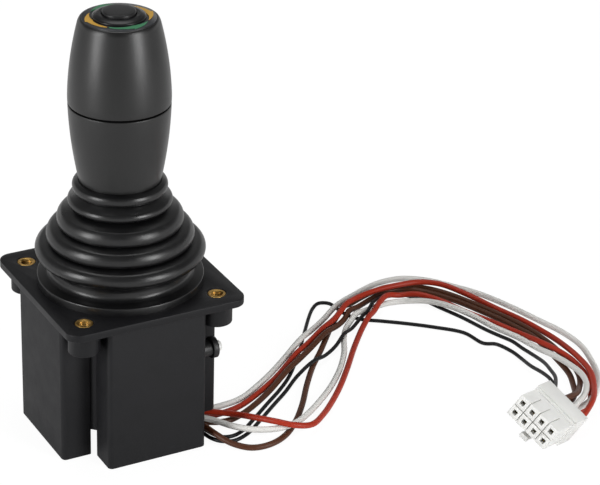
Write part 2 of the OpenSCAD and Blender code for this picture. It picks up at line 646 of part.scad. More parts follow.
module bail_bearings() {
    color("#b08d57")
    translate([0, 0, pivot_z]) for (a = [90, 270]) rotate([0, 0, a]) bearing();
}

module gimbal_ring() {
    color("#c2c4c6")
    translate([0, 0, pivot_z])
        difference() {
            bar_z(gimbal_r, -gimbal_h / 2, gimbal_h / 2);
            bar_z(ring_in_r, -gimbal_h, gimbal_h);
            bar_x(pin_r + press, -gimbal_r - 1, gimbal_r + 1);
            bar_y(pin_r + fit, -gimbal_r - 1, gimbal_r + 1);
        }
}

module gimbal_pins() {
    color("#d5d7d9")
    translate([0, 0, pivot_z]) union() {
        bar_x(pin_r, -sensor_shaft_end, -ring_in_r - 0.3);
        bar_x(pin_r, ring_in_r + 0.3, shaft_end);
    }
}

// Sensor on the +X face of the core: a housing with the shaft's bore and two terminals
module tilt_sensor() {
    difference() {
        union() {
            translate([core_half, -sensor_w / 2, -sensor_w / 2])
                cube([0.6, sensor_w, sensor_w]);
            bar_x(sensor_w / 2 - 0.5, core_half + 0.3, core_half + sensor_t);
            translate([core_half + 1, -3.4, -sensor_w / 2 - 2.5]) cube([1, 0.8, 4]);
            translate([core_half + 1, 2.6, -sensor_w / 2 - 2.5]) cube([1, 0.8, 4]);
        }
        bar_x(pin_r + fit, 0, core_half + sensor_t + 1);
        bar_x(bearing_d / 2 + seat, 0, bearing_end + 0.3);
    }
}

module left_tilt_sensor() { color("#24405f") translate([0, 0, pivot_z]) rotate([0, 0, 180]) tilt_sensor(); }
module front_tilt_sensor() { color("#24405f") translate([0, 0, pivot_z]) rotate([0, 0, -90]) tilt_sensor(); }

// Centring spring on the +X side: two legs hold the moving and the fixed peg between them
module centring_spring() {
    leg = peg_d / 2 + spring_wire_d / 2 + fit;
    lean = asin(leg / spring_coil_r);
    span = 360 * spring_turns + 360 - 2 * lean;
    steps = 14 * (spring_turns + 1);
    coil = [for (i = [0 : steps])
        let (a = -90 + lean + span * i / steps)
        [spring_x0 + spring_wire_d / 2 + (spring_turns + 1) * spring_pitch * i / steps,
            spring_coil_r * cos(a), spring_coil_r * sin(a)]];
    first = coil[0];
    end = coil[steps];
    path = concat([[first[0], leg, -fixed_peg - 1.4], [first[0], leg, -spring_coil_r - 1]], coil,
        [[end[0], -leg, -spring_coil_r - 1], [end[0], -leg, -fixed_peg - 1.4]]);
    tube(path, spring_wire_d / 2, 6, [1, 0, 0]);
}

module right_centring_spring() { color("#9a9da0") translate([0, 0, pivot_z]) centring_spring(); }
module rear_centring_spring() {
    color("#9a9da0") translate([0, 0, pivot_z]) rotate([0, 0, 90]) centring_spring();
}

// Arm at the end of a shaft, with the peg that pushes the spring's legs
module centring_arm() {
    difference() {
        union() {
            bar_x(3, arm_x0, arm_x0 + arm_t);
            translate([arm_x0, -peg_d / 2 - 0.3, -moving_peg])
                cube([arm_t, peg_d + 0.6, moving_peg - 1.6]);
            translate([0, 0, -moving_peg]) bar_x(peg_d / 2 + 0.3, arm_x0, arm_x0 + arm_t);
            translate([0, 0, -moving_peg]) bar_x(peg_d / 2, spring_x0 - 0.3, arm_x0 + 0.5);
        }
        bar_x(pin_r + press, 0, arm_x0 + 5);
    }
}

module right_centring_arm() { color("#7f8386") translate([0, 0, pivot_z]) centring_arm(); }
module rear_centring_arm() {
    color("#7f8386") translate([0, 0, pivot_z]) rotate([0, 0, 90]) centring_arm();
}

// U-shaped strap with a slot along Y that the lever's tip runs in
module slotted_bail() {
    color("#a9abad")
    translate([0, 0, pivot_z])
        difference() {
            union() {
                for (side = [-1, 1]) {
                    y0 = side > 0 ? bail_in : -bail_out;
                    bar_y(4, y0, y0 + bail_t);
                    translate([0, y0 + bail_t, 0]) rotate([90, 0, 0]) linear_extrude(bail_t)
                        polygon([[-4, 0], [4, 0], [bail_half, -bail_drop - bail_t],
                            [-bail_half, -bail_drop - bail_t]]);
                }
                translate([-bail_half, -bail_out, -bail_drop - bail_t])
                    cube([2 * bail_half, 2 * bail_out, bail_t]);
            }
            bar_y(pin_r + press, -bail_out - 1, bail_out + 1);
            translate([-bail_slot_w / 2, -bail_slot_half + bail_slot_w / 2, -bail_drop - bail_t - 1])
                cube([bail_slot_w, 2 * bail_slot_half - bail_slot_w, bail_t + 2]);
            for (side = [-1, 1])
                translate([0, side * (bail_slot_half - bail_slot_w / 2), 0])
                    bar_z(bail_slot_w / 2, -bail_drop - bail_t - 1, -bail_drop + 1);
        }
}

module bail_pins() {
    color("#d5d7d9")
    translate([0, 0, pivot_z]) union() {
        bar_y(pin_r, -sensor_shaft_end, -bail_in);
        bar_y(pin_r, bail_in, shaft_end);
    }
}

// ---------------------------------------------------------------- lever and lower grip

module lever_shaft() {
    color("#cfd1d3")
    difference() {
        union() {
            bar_z(tip_d / 2, pivot_z - tip_reach, pivot_z);
            bar_z(hub_d / 2, pivot_z - hub_h / 2, pivot_z + hub_h / 2);
            bar_z(lever_d / 2, pivot_z, spindle_z0);
            bar_z(spindle_d / 2, spindle_z0 - 1, spindle_top);
        }
        translate([0, 0, pivot_z]) bar_y(pin_r + press, -hub_d, hub_d);
        ring_z(spindle_d, spindle_d / 2 - 0.4, carrier_top + 0.2, carrier_top + 0.8);
    }
}

module lever_pivot_pin() {
    color("#d5d7d9")
    translate([0, 0, pivot_z]) bar_y(pin_r, -gimbal_r + 0.6, gimbal_r - 0.6);
}

module pivot_washers() {
    color("#e3e0d6")
    translate([0, 0, pivot_z])
        for (side = [-1, 1]) {
            y0 = side > 0 ? hub_d / 2 + fit : -washer_end;
            difference() {
                bar_y(washer_d / 2, y0, y0 + washer_end - hub_d / 2 - fit);
                bar_y(pin_r + press, -gimbal_r, gimbal_r);
            }
        }
}

// Heights of a grip's outline from one height to another
function grip_steps(a, b, n) = [for (i = [0 : n]) let (z = a + (b - a) * i / n) [grip_r(z), z]];

module lower_grip() {
    stop_a = twist_limit + 12;
    color("#333335")
    union() {
        rotate_extrude() polygon(concat(
            [[lever_d / 2 + press, grip_z0]], grip_steps(grip_z0, seam_z, 10),
            [[pocket_r, seam_z], [pocket_r, grip_hub_z], [lever_d / 2 + press, grip_hub_z]]));
        for (a = [180 - stop_a, 180 + stop_a]) rotate([0, 0, a])
            translate([pocket_r - 1.9, -1, stop_z0]) cube([2.4, 2, 5]);
    }
}

module grip_nut() {
    color("#b9bbbe")
    difference() {
        translate([0, 0, grip_hub_z]) cylinder(r = nut_flat / 2 / cos(30), h = nut_h, $fn = 6);
        bar_z(spindle_d / 2 + press, grip_hub_z - 1, grip_hub_z + nut_h + 1);
    }
}

module seam_ring() {
    color("#0e0e0e")
    ring_z(grip_r(seam_z) - 0.7, pocket_r + 0.4, seam_z, seam_z + seam_gap - 0.2);
}

module twist_sensor() {
    color("#1f5a38")
    union() {
        ring_z(11.6, 6.6, grip_hub_z, grip_hub_z + 1.6);
        for (a = [0, 120, 240]) rotate([0, 0, a])
            translate([7.6, -1.5, grip_hub_z + 1.6]) cube([2.4, 3, 1.2]);
    }
}

// Coil round the carrier's hub, with one leg at each end
module twist_spring() {
    turns = 5;
    steps = 14 * turns;
    coil_r = carrier_hub_r + 1.6;
    z0 = seam_z - 3.1;
    z1 = web_z0 - 0.8;
    coil = [for (i = [0 : steps])
        let (a = 360 * turns * i / steps)
        [coil_r * cos(a), coil_r * sin(a), z0 + (z1 - z0) * i / steps]];
    color("#9a9da0")
    tube(concat([[coil_r, -2.2, z0]], coil, [[coil_r, 2.2, z1]]), 0.4, 6, [0, 0, 1]);
}

module retaining_ring() {
    color("#5c5f62")
    ring_z(4.4, spindle_d / 2 - 0.4 + press, carrier_top + 0.25, carrier_top + 0.75);
}

// ---------------------------------------------------------------- twist grip and button

module upper_grip() {
    z0 = seam_z + seam_gap;
    z1 = grip_top_z - 1;
    deck = disc_z0 - deck_t;
    color("#333335")
    rotate_extrude() polygon(concat(
        grip_steps(z0, z1, 11),
        [[grip_r(z1) - 0.35, grip_top_z - 0.4], [disc_r + 0.45, grip_top_z], [disc_r + seat, grip_top_z],
            [disc_r + seat, disc_z0], [bezel_sleeve_r + press, disc_z0],
            [bezel_sleeve_r + press, deck], [grip_r(deck) - grip_wall, deck]],
        [for (i = [8 : -1 : 0]) let (z = z0 + (deck - z0) * i / 9) [grip_r(z) - grip_wall, z]]));
}

// Hub on the spindle, with a web to the wall of the twist grip and a stop peg
module twist_carrier() {
    color("#4a4a4c")
    difference() {
        union() {
            bar_z(carrier_hub_r, carrier_z0, carrier_top);
            bar_z(grip_r(web_z0 + web_t) - grip_wall - fit, web_z0, web_z0 + web_t);
            translate([0.5 - pocket_r, -1, stop_z0 + 1]) cube([1.8, 2, web_z0 - stop_z0]);
        }
        bar_z(spindle_d / 2 + bush_wall, carrier_z0 - 1, carrier_top + 1);
    }
}

module twist_bush() {
    color("#b08d57")
    ring_z(spindle_d / 2 + bush_wall - press, spindle_d / 2 + fit, carrier_z0, carrier_top);
}

module twist_magnet() {
    color("#6b6e72")
    ring_z(9.4, carrier_hub_r + press, carrier_z0, carrier_z0 + 3);
}

// Inverted cup over the carrier's hub, with the bore that the button's stem enters
module switch_body() {
    color("#2f3236")
    difference() {
        bar_z(switch_r, web_z0 + web_t, switch_top);
        bar_z(carrier_hub_r + 0.4, web_z0 + web_t - 1, spindle_top + 0.8);
        bar_z(stem_r + 0.3, spindle_top, switch_top + 1);
    }
}

module direction_disc() {
    color("#26272b")
    ring_z(disc_r, bezel_sleeve_r + press, disc_z0, disc_top);
}

// Curved arrow on the disc: a thin tail at angle 0 that widens to a head and ends at "turn"
module curved_arrow(turn) {
    tail = 2;
    head = 46;
    tip = 87;
    mid = 9.3;
    n = 5;
    s = turn > 0 ? 1 : -1;
    outer = [for (i = [0 : n]) let (a = tail + (head - tail) * i / n, r = mid + 0.15 + 0.95 * i / n)
        [r * cos(s * a), r * sin(s * a)]];
    inner = [for (i = [n : -1 : 0]) let (a = tail + (head - tail) * i / n, r = mid - 0.15 - 0.5 * i / n)
        [r * cos(s * a), r * sin(s * a)]];
    side = [for (i = [0 : 4]) let (a = head + (tip - head) * i / 4, r = mid + 1.7 - 1.7 * i / 4)
        [r * cos(s * a), r * sin(s * a)]];
    back = [for (i = [3 : -1 : 0]) let (a = head + (tip - head) * i / 4, r = mid - 0.9 + 0.9 * i / 4)
        [r * cos(s * a), r * sin(s * a)]];
    translate([0, 0, disc_top]) linear_extrude(0.15) polygon(concat(outer, side, back, inner));
}

module yellow_arrows() { color("#d9a935") for (a = [225, 45]) rotate([0, 0, a]) curved_arrow(-1); }
module green_arrows() { color("#4f9a6d") for (a = [225, 45]) rotate([0, 0, a]) curved_arrow(1); }

module button_bezel() {
    bore = button_r + 0.25;
    color("#1d1d1f")
    rotate_extrude() polygon([[bore, sleeve_z0], [bezel_sleeve_r, sleeve_z0], [bezel_sleeve_r, disc_top],
        [bezel_d / 2, disc_top], [bezel_d / 2, disc_top + bezel_step], [bezel_d / 2 - 0.5, disc_top + 0.95],
        [6.6, cap_top - 0.9], [bore, cap_top - 0.9]]);
}

module push_button_cap() {
    color("#2a2a2d")
    union() {
        rotate_extrude() polygon([[0, cap_top - 3.4], [3.7, cap_top - 3.4], [3.7, cap_z0],
            [cap_lip_r, cap_z0], [cap_lip_r, cap_z0 + cap_lip_t], [button_r, cap_z0 + cap_lip_t],
            [button_r, cap_top - 0.5], [button_r - 0.25, cap_top - 0.15], [button_r - 0.8, cap_top],
            [0, cap_top + 0.05]]);
        bar_z(stem_r, switch_top - 3, cap_top - 3);
    }
}

module button_spring() {
    turns = 4;
    steps = 14 * turns;
    coil_r = 2.7;
    z0 = switch_top + 0.35;
    z1 = cap_top - 3.4 - 0.35;
    color("#9a9da0")
    tube([for (i = [0 : steps]) let (a = 360 * turns * i / steps)
        [coil_r * cos(a), coil_r * sin(a), z0 + (z1 - z0) * i / steps]], 0.3, 6, [0, 0, 1]);
}

// ---------------------------------------------------------------- connector and wires

// Everything at one contact position: column 0 to 3, row -1 or 1
module at_contacts() {
    for (column = [0 : 3], row = [-1, 1])
        translate([0, (column - 1.5) * contact_pitch, row * row_offset]) children();
}

module connector_housing() {
    front_w = 4 * contact_pitch - 0.3;
    front_h = 2 * contact_pitch - 0.3;
    neck = plug_len - silo_len;
    color("#dcdcd8")
    translate(plug_pos) rotate(plug_turn)
        difference() {
            union() {
                translate([0, -plug_rear_w / 2, -plug_rear_h / 2])
                    cube([plug_rear_len, plug_rear_w, plug_rear_h]);
                // Step between the rear block and the rows of contacts
                translate([0.01, -plug_rear_w / 2 + 0.2, -front_h / 2 - 0.5])
                    cube([plug_rear_len + 1.4, plug_rear_w - 0.4, front_h + 1]);
                translate([0.01, 0, 0]) rotate([90, 0, 90]) linear_extrude(neck)
                    square([front_w, front_h], center = true);
                // Web that joins the eight towers a little behind their open ends
                translate([neck - 0.5, -front_w / 2 + 0.6, -front_h / 2 + 0.6])
                    cube([silo_len - 0.5, front_w - 1.2, front_h - 1.2]);
                at_contacts() translate([neck - 0.5, -silo_w / 2, -silo_w / 2])
                    cube([silo_len + 0.5, silo_w, silo_w]);
                // Latch arm and its tip
                translate([plug_rear_len - 2, -1, -plug_rear_h / 2 - 2])
                    cube([plug_len - plug_rear_len, 3, 1]);
                translate([plug_rear_len - 2, -1, -plug_rear_h / 2 - 2]) cube([1.8, 3, 3]);
                translate([plug_len - 3.5, -1, -plug_rear_h / 2 - 2.4]) cube([1.5, 3, 1.6]);
            }
            at_contacts() translate([neck - 5, -cavity_w / 2, -cavity_w / 2])
                cube([silo_len + 10, cavity_w, cavity_w]);
            at_contacts() translate([-1, 0, 0]) bar_x(wire_d / 2 + 0.25, 0, 1);
        }
}

module connector_contacts() {
    x0 = plug_len - silo_len - 5;
    color("#b9a26a")
    translate(plug_pos) rotate(plug_turn)
        at_contacts()
            difference() {
                translate([x0, -contact_w / 2, -contact_w / 2]) cube([silo_len + 3, contact_w, contact_w]);
                translate([x0 + 2, -contact_w / 2 + 0.3, -contact_w / 2 + 0.3])
                    cube([silo_len + 3, contact_w - 0.6, contact_w - 0.6]);
            }
}

// A wire lies on the surface wherever its route dips below it
module wire(route, d) { tube([for (q = smooth(route)) [q[0], q[1], max(q[2], d / 2)]], d / 2); }

module white_wire_1() { color("#dcdcd8") wire(white_route_1, wire_d); }
module red_wire_1() { color("#a63422") wire(red_route_1, wire_d); }
module brown_wire_1() { color("#5a3a28") wire(brown_route_1, wire_d); }
module black_wire_1() { color("#1c1e20") wire(black_route_1, thin_wire_d); }
module white_wire_2() { color("#dcdcd8") wire(white_route_2, wire_d); }
module red_wire_2() { color("#a63422") wire(red_route_2, wire_d); }
module brown_wire_2() { color("#5a3a28") wire(brown_route_2, wire_d); }
module black_wire_2() { color("#1c1e20") wire(black_route_2, thin_wire_d); }

mounting_flange();
threaded_inserts();
core_housing();
front_pod();
rear_pod();
left_pod();
right_pod();
side_bush();
side_pin();
bottom_cover();
cover_screws();
circuit_board();
cable_grommet();
restrictor_plate();
restrictor_screws();
bellows();
bellows_retaining_ring();
gimbal_bearings();
bail_bearings();
left_tilt_sensor();
front_tilt_sensor();
right_centring_spring();
rear_centring_spring();
gimbal_ring();
gimbal_pins();
right_centring_arm();
slotted_bail();
bail_pins();
rear_centring_arm();
lever_shaft();
lever_pivot_pin();
pivot_washers();
lower_grip();
grip_nut();
seam_ring();
twist_sensor();
twist_spring();
retaining_ring();
upper_grip();
twist_carrier();
twist_bush();
twist_magnet();
switch_body();
direction_disc();
yellow_arrows();
green_arrows();
button_bezel();
push_button_cap();
button_spring();
connector_housing();
connector_contacts();
white_wire_1();
red_wire_1();
brown_wire_1();
black_wire_1();
white_wire_2();
red_wire_2();
brown_wire_2();
black_wire_2();
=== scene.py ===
"""Looks of a two-axis industrial joystick with a twist grip, a push button and a wired connector.

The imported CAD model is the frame. Each sub-assembly is a class that holds its sizes in
millimetres, builds the pieces that need finer shapes than the CAD solids have, and gives every
piece its finish. Places come from the frame's own boxes.
"""

import logging
import math
from abc import ABC, abstractmethod
from collections.abc import Iterable
from dataclasses import dataclass, field
from enum import Enum
from typing import Any

import bmesh
import bpy
from mathutils import Euler, Matrix, Vector


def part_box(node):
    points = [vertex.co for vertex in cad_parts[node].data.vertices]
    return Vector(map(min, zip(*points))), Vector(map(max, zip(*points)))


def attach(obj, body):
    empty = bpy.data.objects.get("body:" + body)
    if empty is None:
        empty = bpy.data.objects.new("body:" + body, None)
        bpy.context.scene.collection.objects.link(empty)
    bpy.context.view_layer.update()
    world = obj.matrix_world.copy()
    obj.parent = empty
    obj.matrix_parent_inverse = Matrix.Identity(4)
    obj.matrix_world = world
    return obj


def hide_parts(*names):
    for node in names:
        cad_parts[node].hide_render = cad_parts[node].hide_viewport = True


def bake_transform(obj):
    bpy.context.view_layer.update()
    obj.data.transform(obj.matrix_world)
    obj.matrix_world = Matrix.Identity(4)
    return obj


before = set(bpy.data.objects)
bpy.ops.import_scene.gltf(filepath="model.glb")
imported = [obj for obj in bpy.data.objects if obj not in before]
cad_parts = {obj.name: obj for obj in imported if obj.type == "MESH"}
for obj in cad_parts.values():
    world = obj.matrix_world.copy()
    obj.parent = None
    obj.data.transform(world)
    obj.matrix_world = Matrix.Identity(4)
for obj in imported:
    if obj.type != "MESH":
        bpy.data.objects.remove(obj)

Piece = bpy.types.Object
Tree = bpy.types.NodeTree
Node = bpy.types.Node
Socket = bpy.types.NodeSocket
Rgba = tuple[float, float, float, float]
# A profile point: radius and height in millimetres, and the radius of its rounded corner
ProfilePoint = tuple[float, float, float]

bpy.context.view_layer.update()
NODES: dict[str, Piece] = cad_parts
LOG = logging.getLogger("joystick")
MM = 0.001
# Points that are closer together than this, in metres, are merged
MERGE = 1e-6
# Faces that turn less than the first, in degrees, are merged, and edges that turn more than the
# second are rounded
FLAT_ANGLE, EDGE_ANGLE = 0.5, 30
# The part of its range that a soft noise fills
NOISE_RANGE = (0.3, 0.7)


class Body(Enum):
    """The bodies that carry the new pieces, by their names in the record."""

    BASE = "base"
    GIMBAL = "gimbal"
    LEVER = "lever"
    TWIST_GRIP = "twist_grip"
    BUTTON = "button"


# ------------------------------------------------------------------ small tools


def linear(colour: str) -> Rgba:
    """Turns an sRGB colour, written as "#rrggbb", into linear RGBA."""
    channels = [int(colour[i:i + 2], 16) / 255 for i in (1, 3, 5)]
    return (*[c / 12.92 if c <= 0.04045 else ((c + 0.055) / 1.055) ** 2.4 for c in channels], 1.0)


def shaded(colour: str, factor: float) -> Rgba:
    """Returns a hex colour in linear RGBA, made lighter or darker by a factor."""
    return (*[min(1.0, c * factor) for c in linear(colour)[:3]], 1.0)


def add_node(tree: Tree, kind: str, inputs: dict[Any, Any] | None = None,
             **settings: Any) -> Node:
    """Adds one shader node with its settings and links.

    Args:
        tree: the node tree that gets the node.
        kind: the node's type.
        inputs: for each input, by name or number, a value or the output socket linked to it.
        **settings: properties of the node.

    Returns:
        The new node.
    """
    node = tree.nodes.new(kind)
    for key, value in settings.items():
        setattr(node, key, value)
    for key, value in (inputs or {}).items():
        if isinstance(value, Socket):
            tree.links.new(value, node.inputs[key])
        else:
            node.inputs[key].default_value = value
    return node


def low(node: str, axis: int = 2) -> float:
    """Returns a CAD node's lowest coordinate on an axis, in millimetres."""
    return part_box(node)[0][axis] / MM


def high(node: str, axis: int = 2) -> float:
    """Returns a CAD node's highest coordinate on an axis, in millimetres."""
    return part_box(node)[1][axis] / MM


def polar(azimuth: float, elevation: float) -> Vector:
    """Returns the unit vector towards an azimuth, 0 in front and 90 right, and an elevation."""
    a, e = math.radians(azimuth), math.radians(elevation)
    return Vector((math.sin(a) * math.cos(e), -math.cos(a) * math.cos(e), math.sin(e)))


# ------------------------------------------------------------------ finishes


@dataclass(frozen=True)
class Skin:
    """The shader of one finish, with the patterns that can be laid over it.

    Attributes:
        tree: the material's node tree.
        shader: its principled shader.
        place: the object coordinates in metres.
        finish: the finish that it shows.
    """

    tree: Tree
    shader: Node
    place: Socket
    finish: "Finish"

    def set(self, values: dict[str, Any]) -> None:
        """Sets inputs of the shader by their names."""
        for name, value in values.items():
            self.shader.inputs[name].default_value = value

    def link(self, output: Socket, name: str) -> None:
        """Links an output to an input of the shader."""
        self.tree.links.new(output, self.shader.inputs[name])

    def cloud(self, size_mm: float, detail: float = 2.0, place: Socket | None = None) -> Socket:
        """Returns a soft noise whose features have a real size in millimetres."""
        return add_node(self.tree, "ShaderNodeTexNoise",
                        {"Vector": self.place if place is None else place,
                         "Scale": 1 / (size_mm * MM), "Detail": detail,
                         "Roughness": 0.55}).outputs["Fac"]

    def vary_colour(self, factor: Socket, amount: float) -> None:
        """Lets the base colour wander between a darker and a lighter shade of itself.

        Args:
            factor: the pattern, from 0 for the darker shade to 1 for the lighter one.
            amount: how far the shades lie from the base colour, as a share of it.
        """
        colour = self.finish.colour
        mix = add_node(self.tree, "ShaderNodeMix",
                       {0: factor, 6: shaded(colour, 1 - amount), 7: shaded(colour, 1 + amount)},
                       data_type="RGBA")
        self.link(mix.outputs[2], "Base Color")

    def vary_roughness(self, factor: Socket, amount: float) -> None:
        """Lets the roughness wander round its mean.

        Args:
            factor: the pattern, a soft noise.
            amount: how far the roughness goes to either side.
        """
        mean = self.finish.roughness
        spread = add_node(self.tree, "ShaderNodeMapRange",
                          {"Value": factor, "From Min": NOISE_RANGE[0],
                           "From Max": NOISE_RANGE[1],
                           "To Min": mean - amount, "To Max": mean + amount})
        self.link(spread.outputs["Result"], "Roughness")

    def bump(self, height: Socket, depth_mm: float) -> None:
        """Raises the surface by a height pattern of a real depth in millimetres."""
        node = add_node(self.tree, "ShaderNodeBump",
                        {"Strength": 1.0, "Distance": depth_mm * MM, "Height": height})
        self.link(node.outputs["Normal"], "Normal")


@dataclass(frozen=True)
class Finish(ABC):
    """What a surface is made of.

    Attributes:
        name: the material's name.
        slot: the record's material slot; not used.
        colour: sRGB hex colour.
        roughness: mean roughness of the surface.
        specular: specular level; dark filled plastics reflect less than the clear resin.
    """

    name: str
    slot: str
    colour: str
    roughness: float
    specular: float = 0.5

    @abstractmethod
    def shade(self, skin: Skin) -> None:
        """Adds the patterns of this kind of surface."""

    def material(self) -> bpy.types.Material:
        """Makes the material once, to be shared by every piece of this finish.

        Returns:
            The material.
        """
        found = bpy.data.materials.get(self.name)
        if found is not None:
            return found
        material = bpy.data.materials.new(self.name)
        material.use_nodes = True
        tree = material.node_tree
        skin = Skin(tree, tree.nodes["Principled BSDF"],
                    add_node(tree, "ShaderNodeTexCoord").outputs["Object"], self)
        skin.set({"Base Color": linear(self.colour), "Roughness": self.roughness,
                  "Specular IOR Level": self.specular})
        self.shade(skin)
        return material


@dataclass(frozen=True)
class MouldedPlastic(Finish):
    """Filled polyamide or ABS out of a spark-eroded mould: matte, with a fine even grain and
    slight clouds where the melt flowed.

    Attributes:
        grain_mm: distance between the grains, drawn coarser than real ones so that they show.
        grain_depth_mm: height of a grain.
        clouds_mm: size of the flow clouds.
        cloudiness: how much lighter or darker they are.
    """

    specular: float = 0.4
    grain_mm: float = 0.45
    grain_depth_mm: float = 0.02
    clouds_mm: float = 9.0
    cloudiness: float = 0.12

    def shade(self, skin: Skin) -> None:
        """Adds flow clouds to the colour and the roughness, and the mould's grain as bump.

        Args:
            skin: the shader and its patterns.
        """
        clouds = skin.cloud(self.clouds_mm, detail=4.0)
        skin.vary_colour(clouds, self.cloudiness)
        skin.vary_roughness(clouds, amount=0.05)
        skin.bump(skin.cloud(self.grain_mm), self.grain_depth_mm)


@dataclass(frozen=True)
class MouldedRubber(Finish):
    """Moulded rubber: a closed black skin with a soft wide gloss, and fine flow marks that run
    round the piece.

    Attributes:
        marks_mm: height of a flow mark.
        marks_depth_mm: depth of a flow mark.
        marks_stretch: the scale of the flow marks along X, Y and Z, which draws them out.
    """

    marks_mm: float = 1.2
    marks_depth_mm: float = 0.012
    marks_stretch: tuple[float, float, float] = (0.12, 0.12, 1.0)

    def shade(self, skin: Skin) -> None:
        """Adds clouds to the colour and the roughness, and the flow marks as bump.

        Args:
            skin: the shader and its patterns.
        """
        clouds = skin.cloud(size_mm=6.0, detail=4.0)
        skin.vary_colour(clouds, amount=0.15)
        skin.vary_roughness(clouds, amount=0.06)
        flat = add_node(skin.tree, "ShaderNodeMapping",
                        {"Vector": skin.place, "Scale": self.marks_stretch})
        skin.bump(skin.cloud(self.marks_mm, place=flat.outputs["Vector"]), self.marks_depth_mm)


class Tooling(Enum):
    """How a metal surface was made: the stretch of its fine lines along X, Y and Z."""

    TURNED = (0.15, 0.15, 1.0)
    BRUSHED = (1.0, 0.08, 1.0)
    PLATED = (1.0, 1.0, 1.0)


@dataclass(frozen=True)
class Metal(Finish):
    """A bare or plated metal, with the fine lines or the grain of its making.

    Attributes:
        tooling: how it was made.
        line_mm: distance between its lines, drawn coarser than real ones so that they show.
        line_depth_mm: depth of a line.
    """

    tooling: Tooling = Tooling.PLATED
    line_mm: float = 0.3
    line_depth_mm: float = 0.006

    def shade(self, skin: Skin) -> None:
        """Adds the metallic base, its tarnish clouds and its tool lines.

        Args:
            skin: the shader and its patterns.
        """
        skin.set({"Metallic": 1.0})
        skin.vary_colour(skin.cloud(size_mm=2.5, detail=3.0), amount=0.12)
        lines = add_node(skin.tree, "ShaderNodeMapping",
                         {"Vector": skin.place, "Scale": self.tooling.value})
        pattern = skin.cloud(self.line_mm, detail=3.0, place=lines.outputs["Vector"])
        skin.vary_roughness(pattern, amount=0.08)
        skin.bump(pattern, self.line_depth_mm)


@dataclass(frozen=True)
class Nylon(Finish):
    """Unfilled polyamide: milky, a little light goes in, with a satin moulded skin.

    Attributes:
        depth_mm: how far light goes in.
    """

    depth_mm: float = 1.0

    def shade(self, skin: Skin) -> None:
        """Adds the milky depth and slight sink marks.

        Args:
            skin: the shader and its patterns.
        """
        skin.vary_colour(skin.cloud(size_mm=5.0), amount=0.04)
        skin.vary_roughness(skin.cloud(size_mm=2.0, detail=3.0), amount=0.06)
        skin.bump(skin.cloud(size_mm=3.5), depth_mm=0.03)
        skin.set({"Subsurface Weight": 0.12, "Subsurface Radius": (1.0, 0.95, 0.85),
                  "Subsurface Scale": self.depth_mm * MM})


@dataclass(frozen=True)
class Insulation(Finish):
    """Extruded PVC round a stranded wire: smooth and a little waxy, with the lay of the strands
    just felt through it.

    Attributes:
        lay_mm: distance between the shallow swellings over the strands.
    """

    specular: float = 0.3
    lay_mm: float = 1.6

    def shade(self, skin: Skin) -> None:
        """Adds slight handling marks and the swellings.

        Args:
            skin: the shader and its patterns.
        """
        skin.vary_colour(skin.cloud(size_mm=7.0, detail=3.0), amount=0.08)
        skin.vary_roughness(skin.cloud(size_mm=1.5, detail=3.0), amount=0.07)
        skin.bump(skin.cloud(self.lay_mm), depth_mm=0.02)


@dataclass(frozen=True)
class SolderMask(Finish):
    """Glass laminate under green lacquer: glossy, with the copper tracks standing out below it.

    Attributes:
        track_mm: pitch of the tracks.
        track_colour: colour of the lacquer over copper.
    """

    track_mm: float = 2.0
    track_colour: str = "#2f7a4c"

    def shade(self, skin: Skin) -> None:
        """Adds the tracks as bricks with thin joints, in colour and in height.

        Args:
            skin: the shader and its patterns.
        """
        tracks = add_node(skin.tree, "ShaderNodeTexBrick",
                          {"Vector": skin.place, "Color1": linear(self.colour),
                           "Color2": shaded(self.colour, 1.15),
                           "Mortar": linear(self.track_colour), "Scale": 1 / (self.track_mm * MM),
                           "Mortar Size": 0.08})
        skin.link(tracks.outputs["Color"], "Base Color")
        skin.bump(tracks.outputs["Fac"], depth_mm=0.03)
        skin.set({"Coat Weight": 0.5})


@dataclass(frozen=True)
class PrintedInk(Finish):
    """Screen-printed ink on a label: flat and matte, with the mesh of the screen in it.

    Attributes:
        mesh_mm: pitch of the screen, drawn coarser than a real one so that it shows.
    """

    specular: float = 0.35
    mesh_mm: float = 0.25

    def shade(self, skin: Skin) -> None:
        """Adds thin spots in the ink and the screen's fine grain."""
        skin.vary_colour(skin.cloud(size_mm=0.8, detail=3.0), amount=0.1)
        skin.bump(skin.cloud(self.mesh_mm), depth_mm=0.006)


# Glass-filled polyamide of the flange and the core: near black, a little silky on top
FLANGE_PLASTIC = MouldedPlastic("moulded_polyamide_black", "flange_plastic", "#151517", 0.45, 0.2)
CORE_PLASTIC = MouldedPlastic("moulded_polyamide_core", "flange_plastic", "#161618", 0.6, 0.2)
# ABS of the pods: dark grey and matte, with broad clouds where the melt flowed
POD_PLASTIC = MouldedPlastic("moulded_abs_dark_grey", "pod_plastic", "#18181a", 0.55, 0.2,
                             grain_mm=0.55, grain_depth_mm=0.03, clouds_mm=7, cloudiness=0.35)
# Satin polyamide of the grips: hardly any grain, so the soft boxes draw long highlights on it
GRIP_PLASTIC = MouldedPlastic("satin_polyamide_black", "grip_plastic", "#0b0b0b", 0.36, 0.5,
                              grain_mm=0.35, grain_depth_mm=0.008, clouds_mm=14, cloudiness=0.08)
# ABS of the button: satin like the grip, with a weaker gloss
BUTTON_PLASTIC = MouldedPlastic("satin_button_plastic", "button_plastic", "#141415", 0.36, 0.3,
                                grain_mm=0.3, grain_depth_mm=0.006)
# ABS of the bezel, out of a polished mould: the smoothest plastic, with a bright line round it
BEZEL_PLASTIC = MouldedPlastic("glossy_bezel_plastic", "bezel_plastic", "#101011", 0.28, 0.3,
                               grain_mm=0.5, grain_depth_mm=0.004)
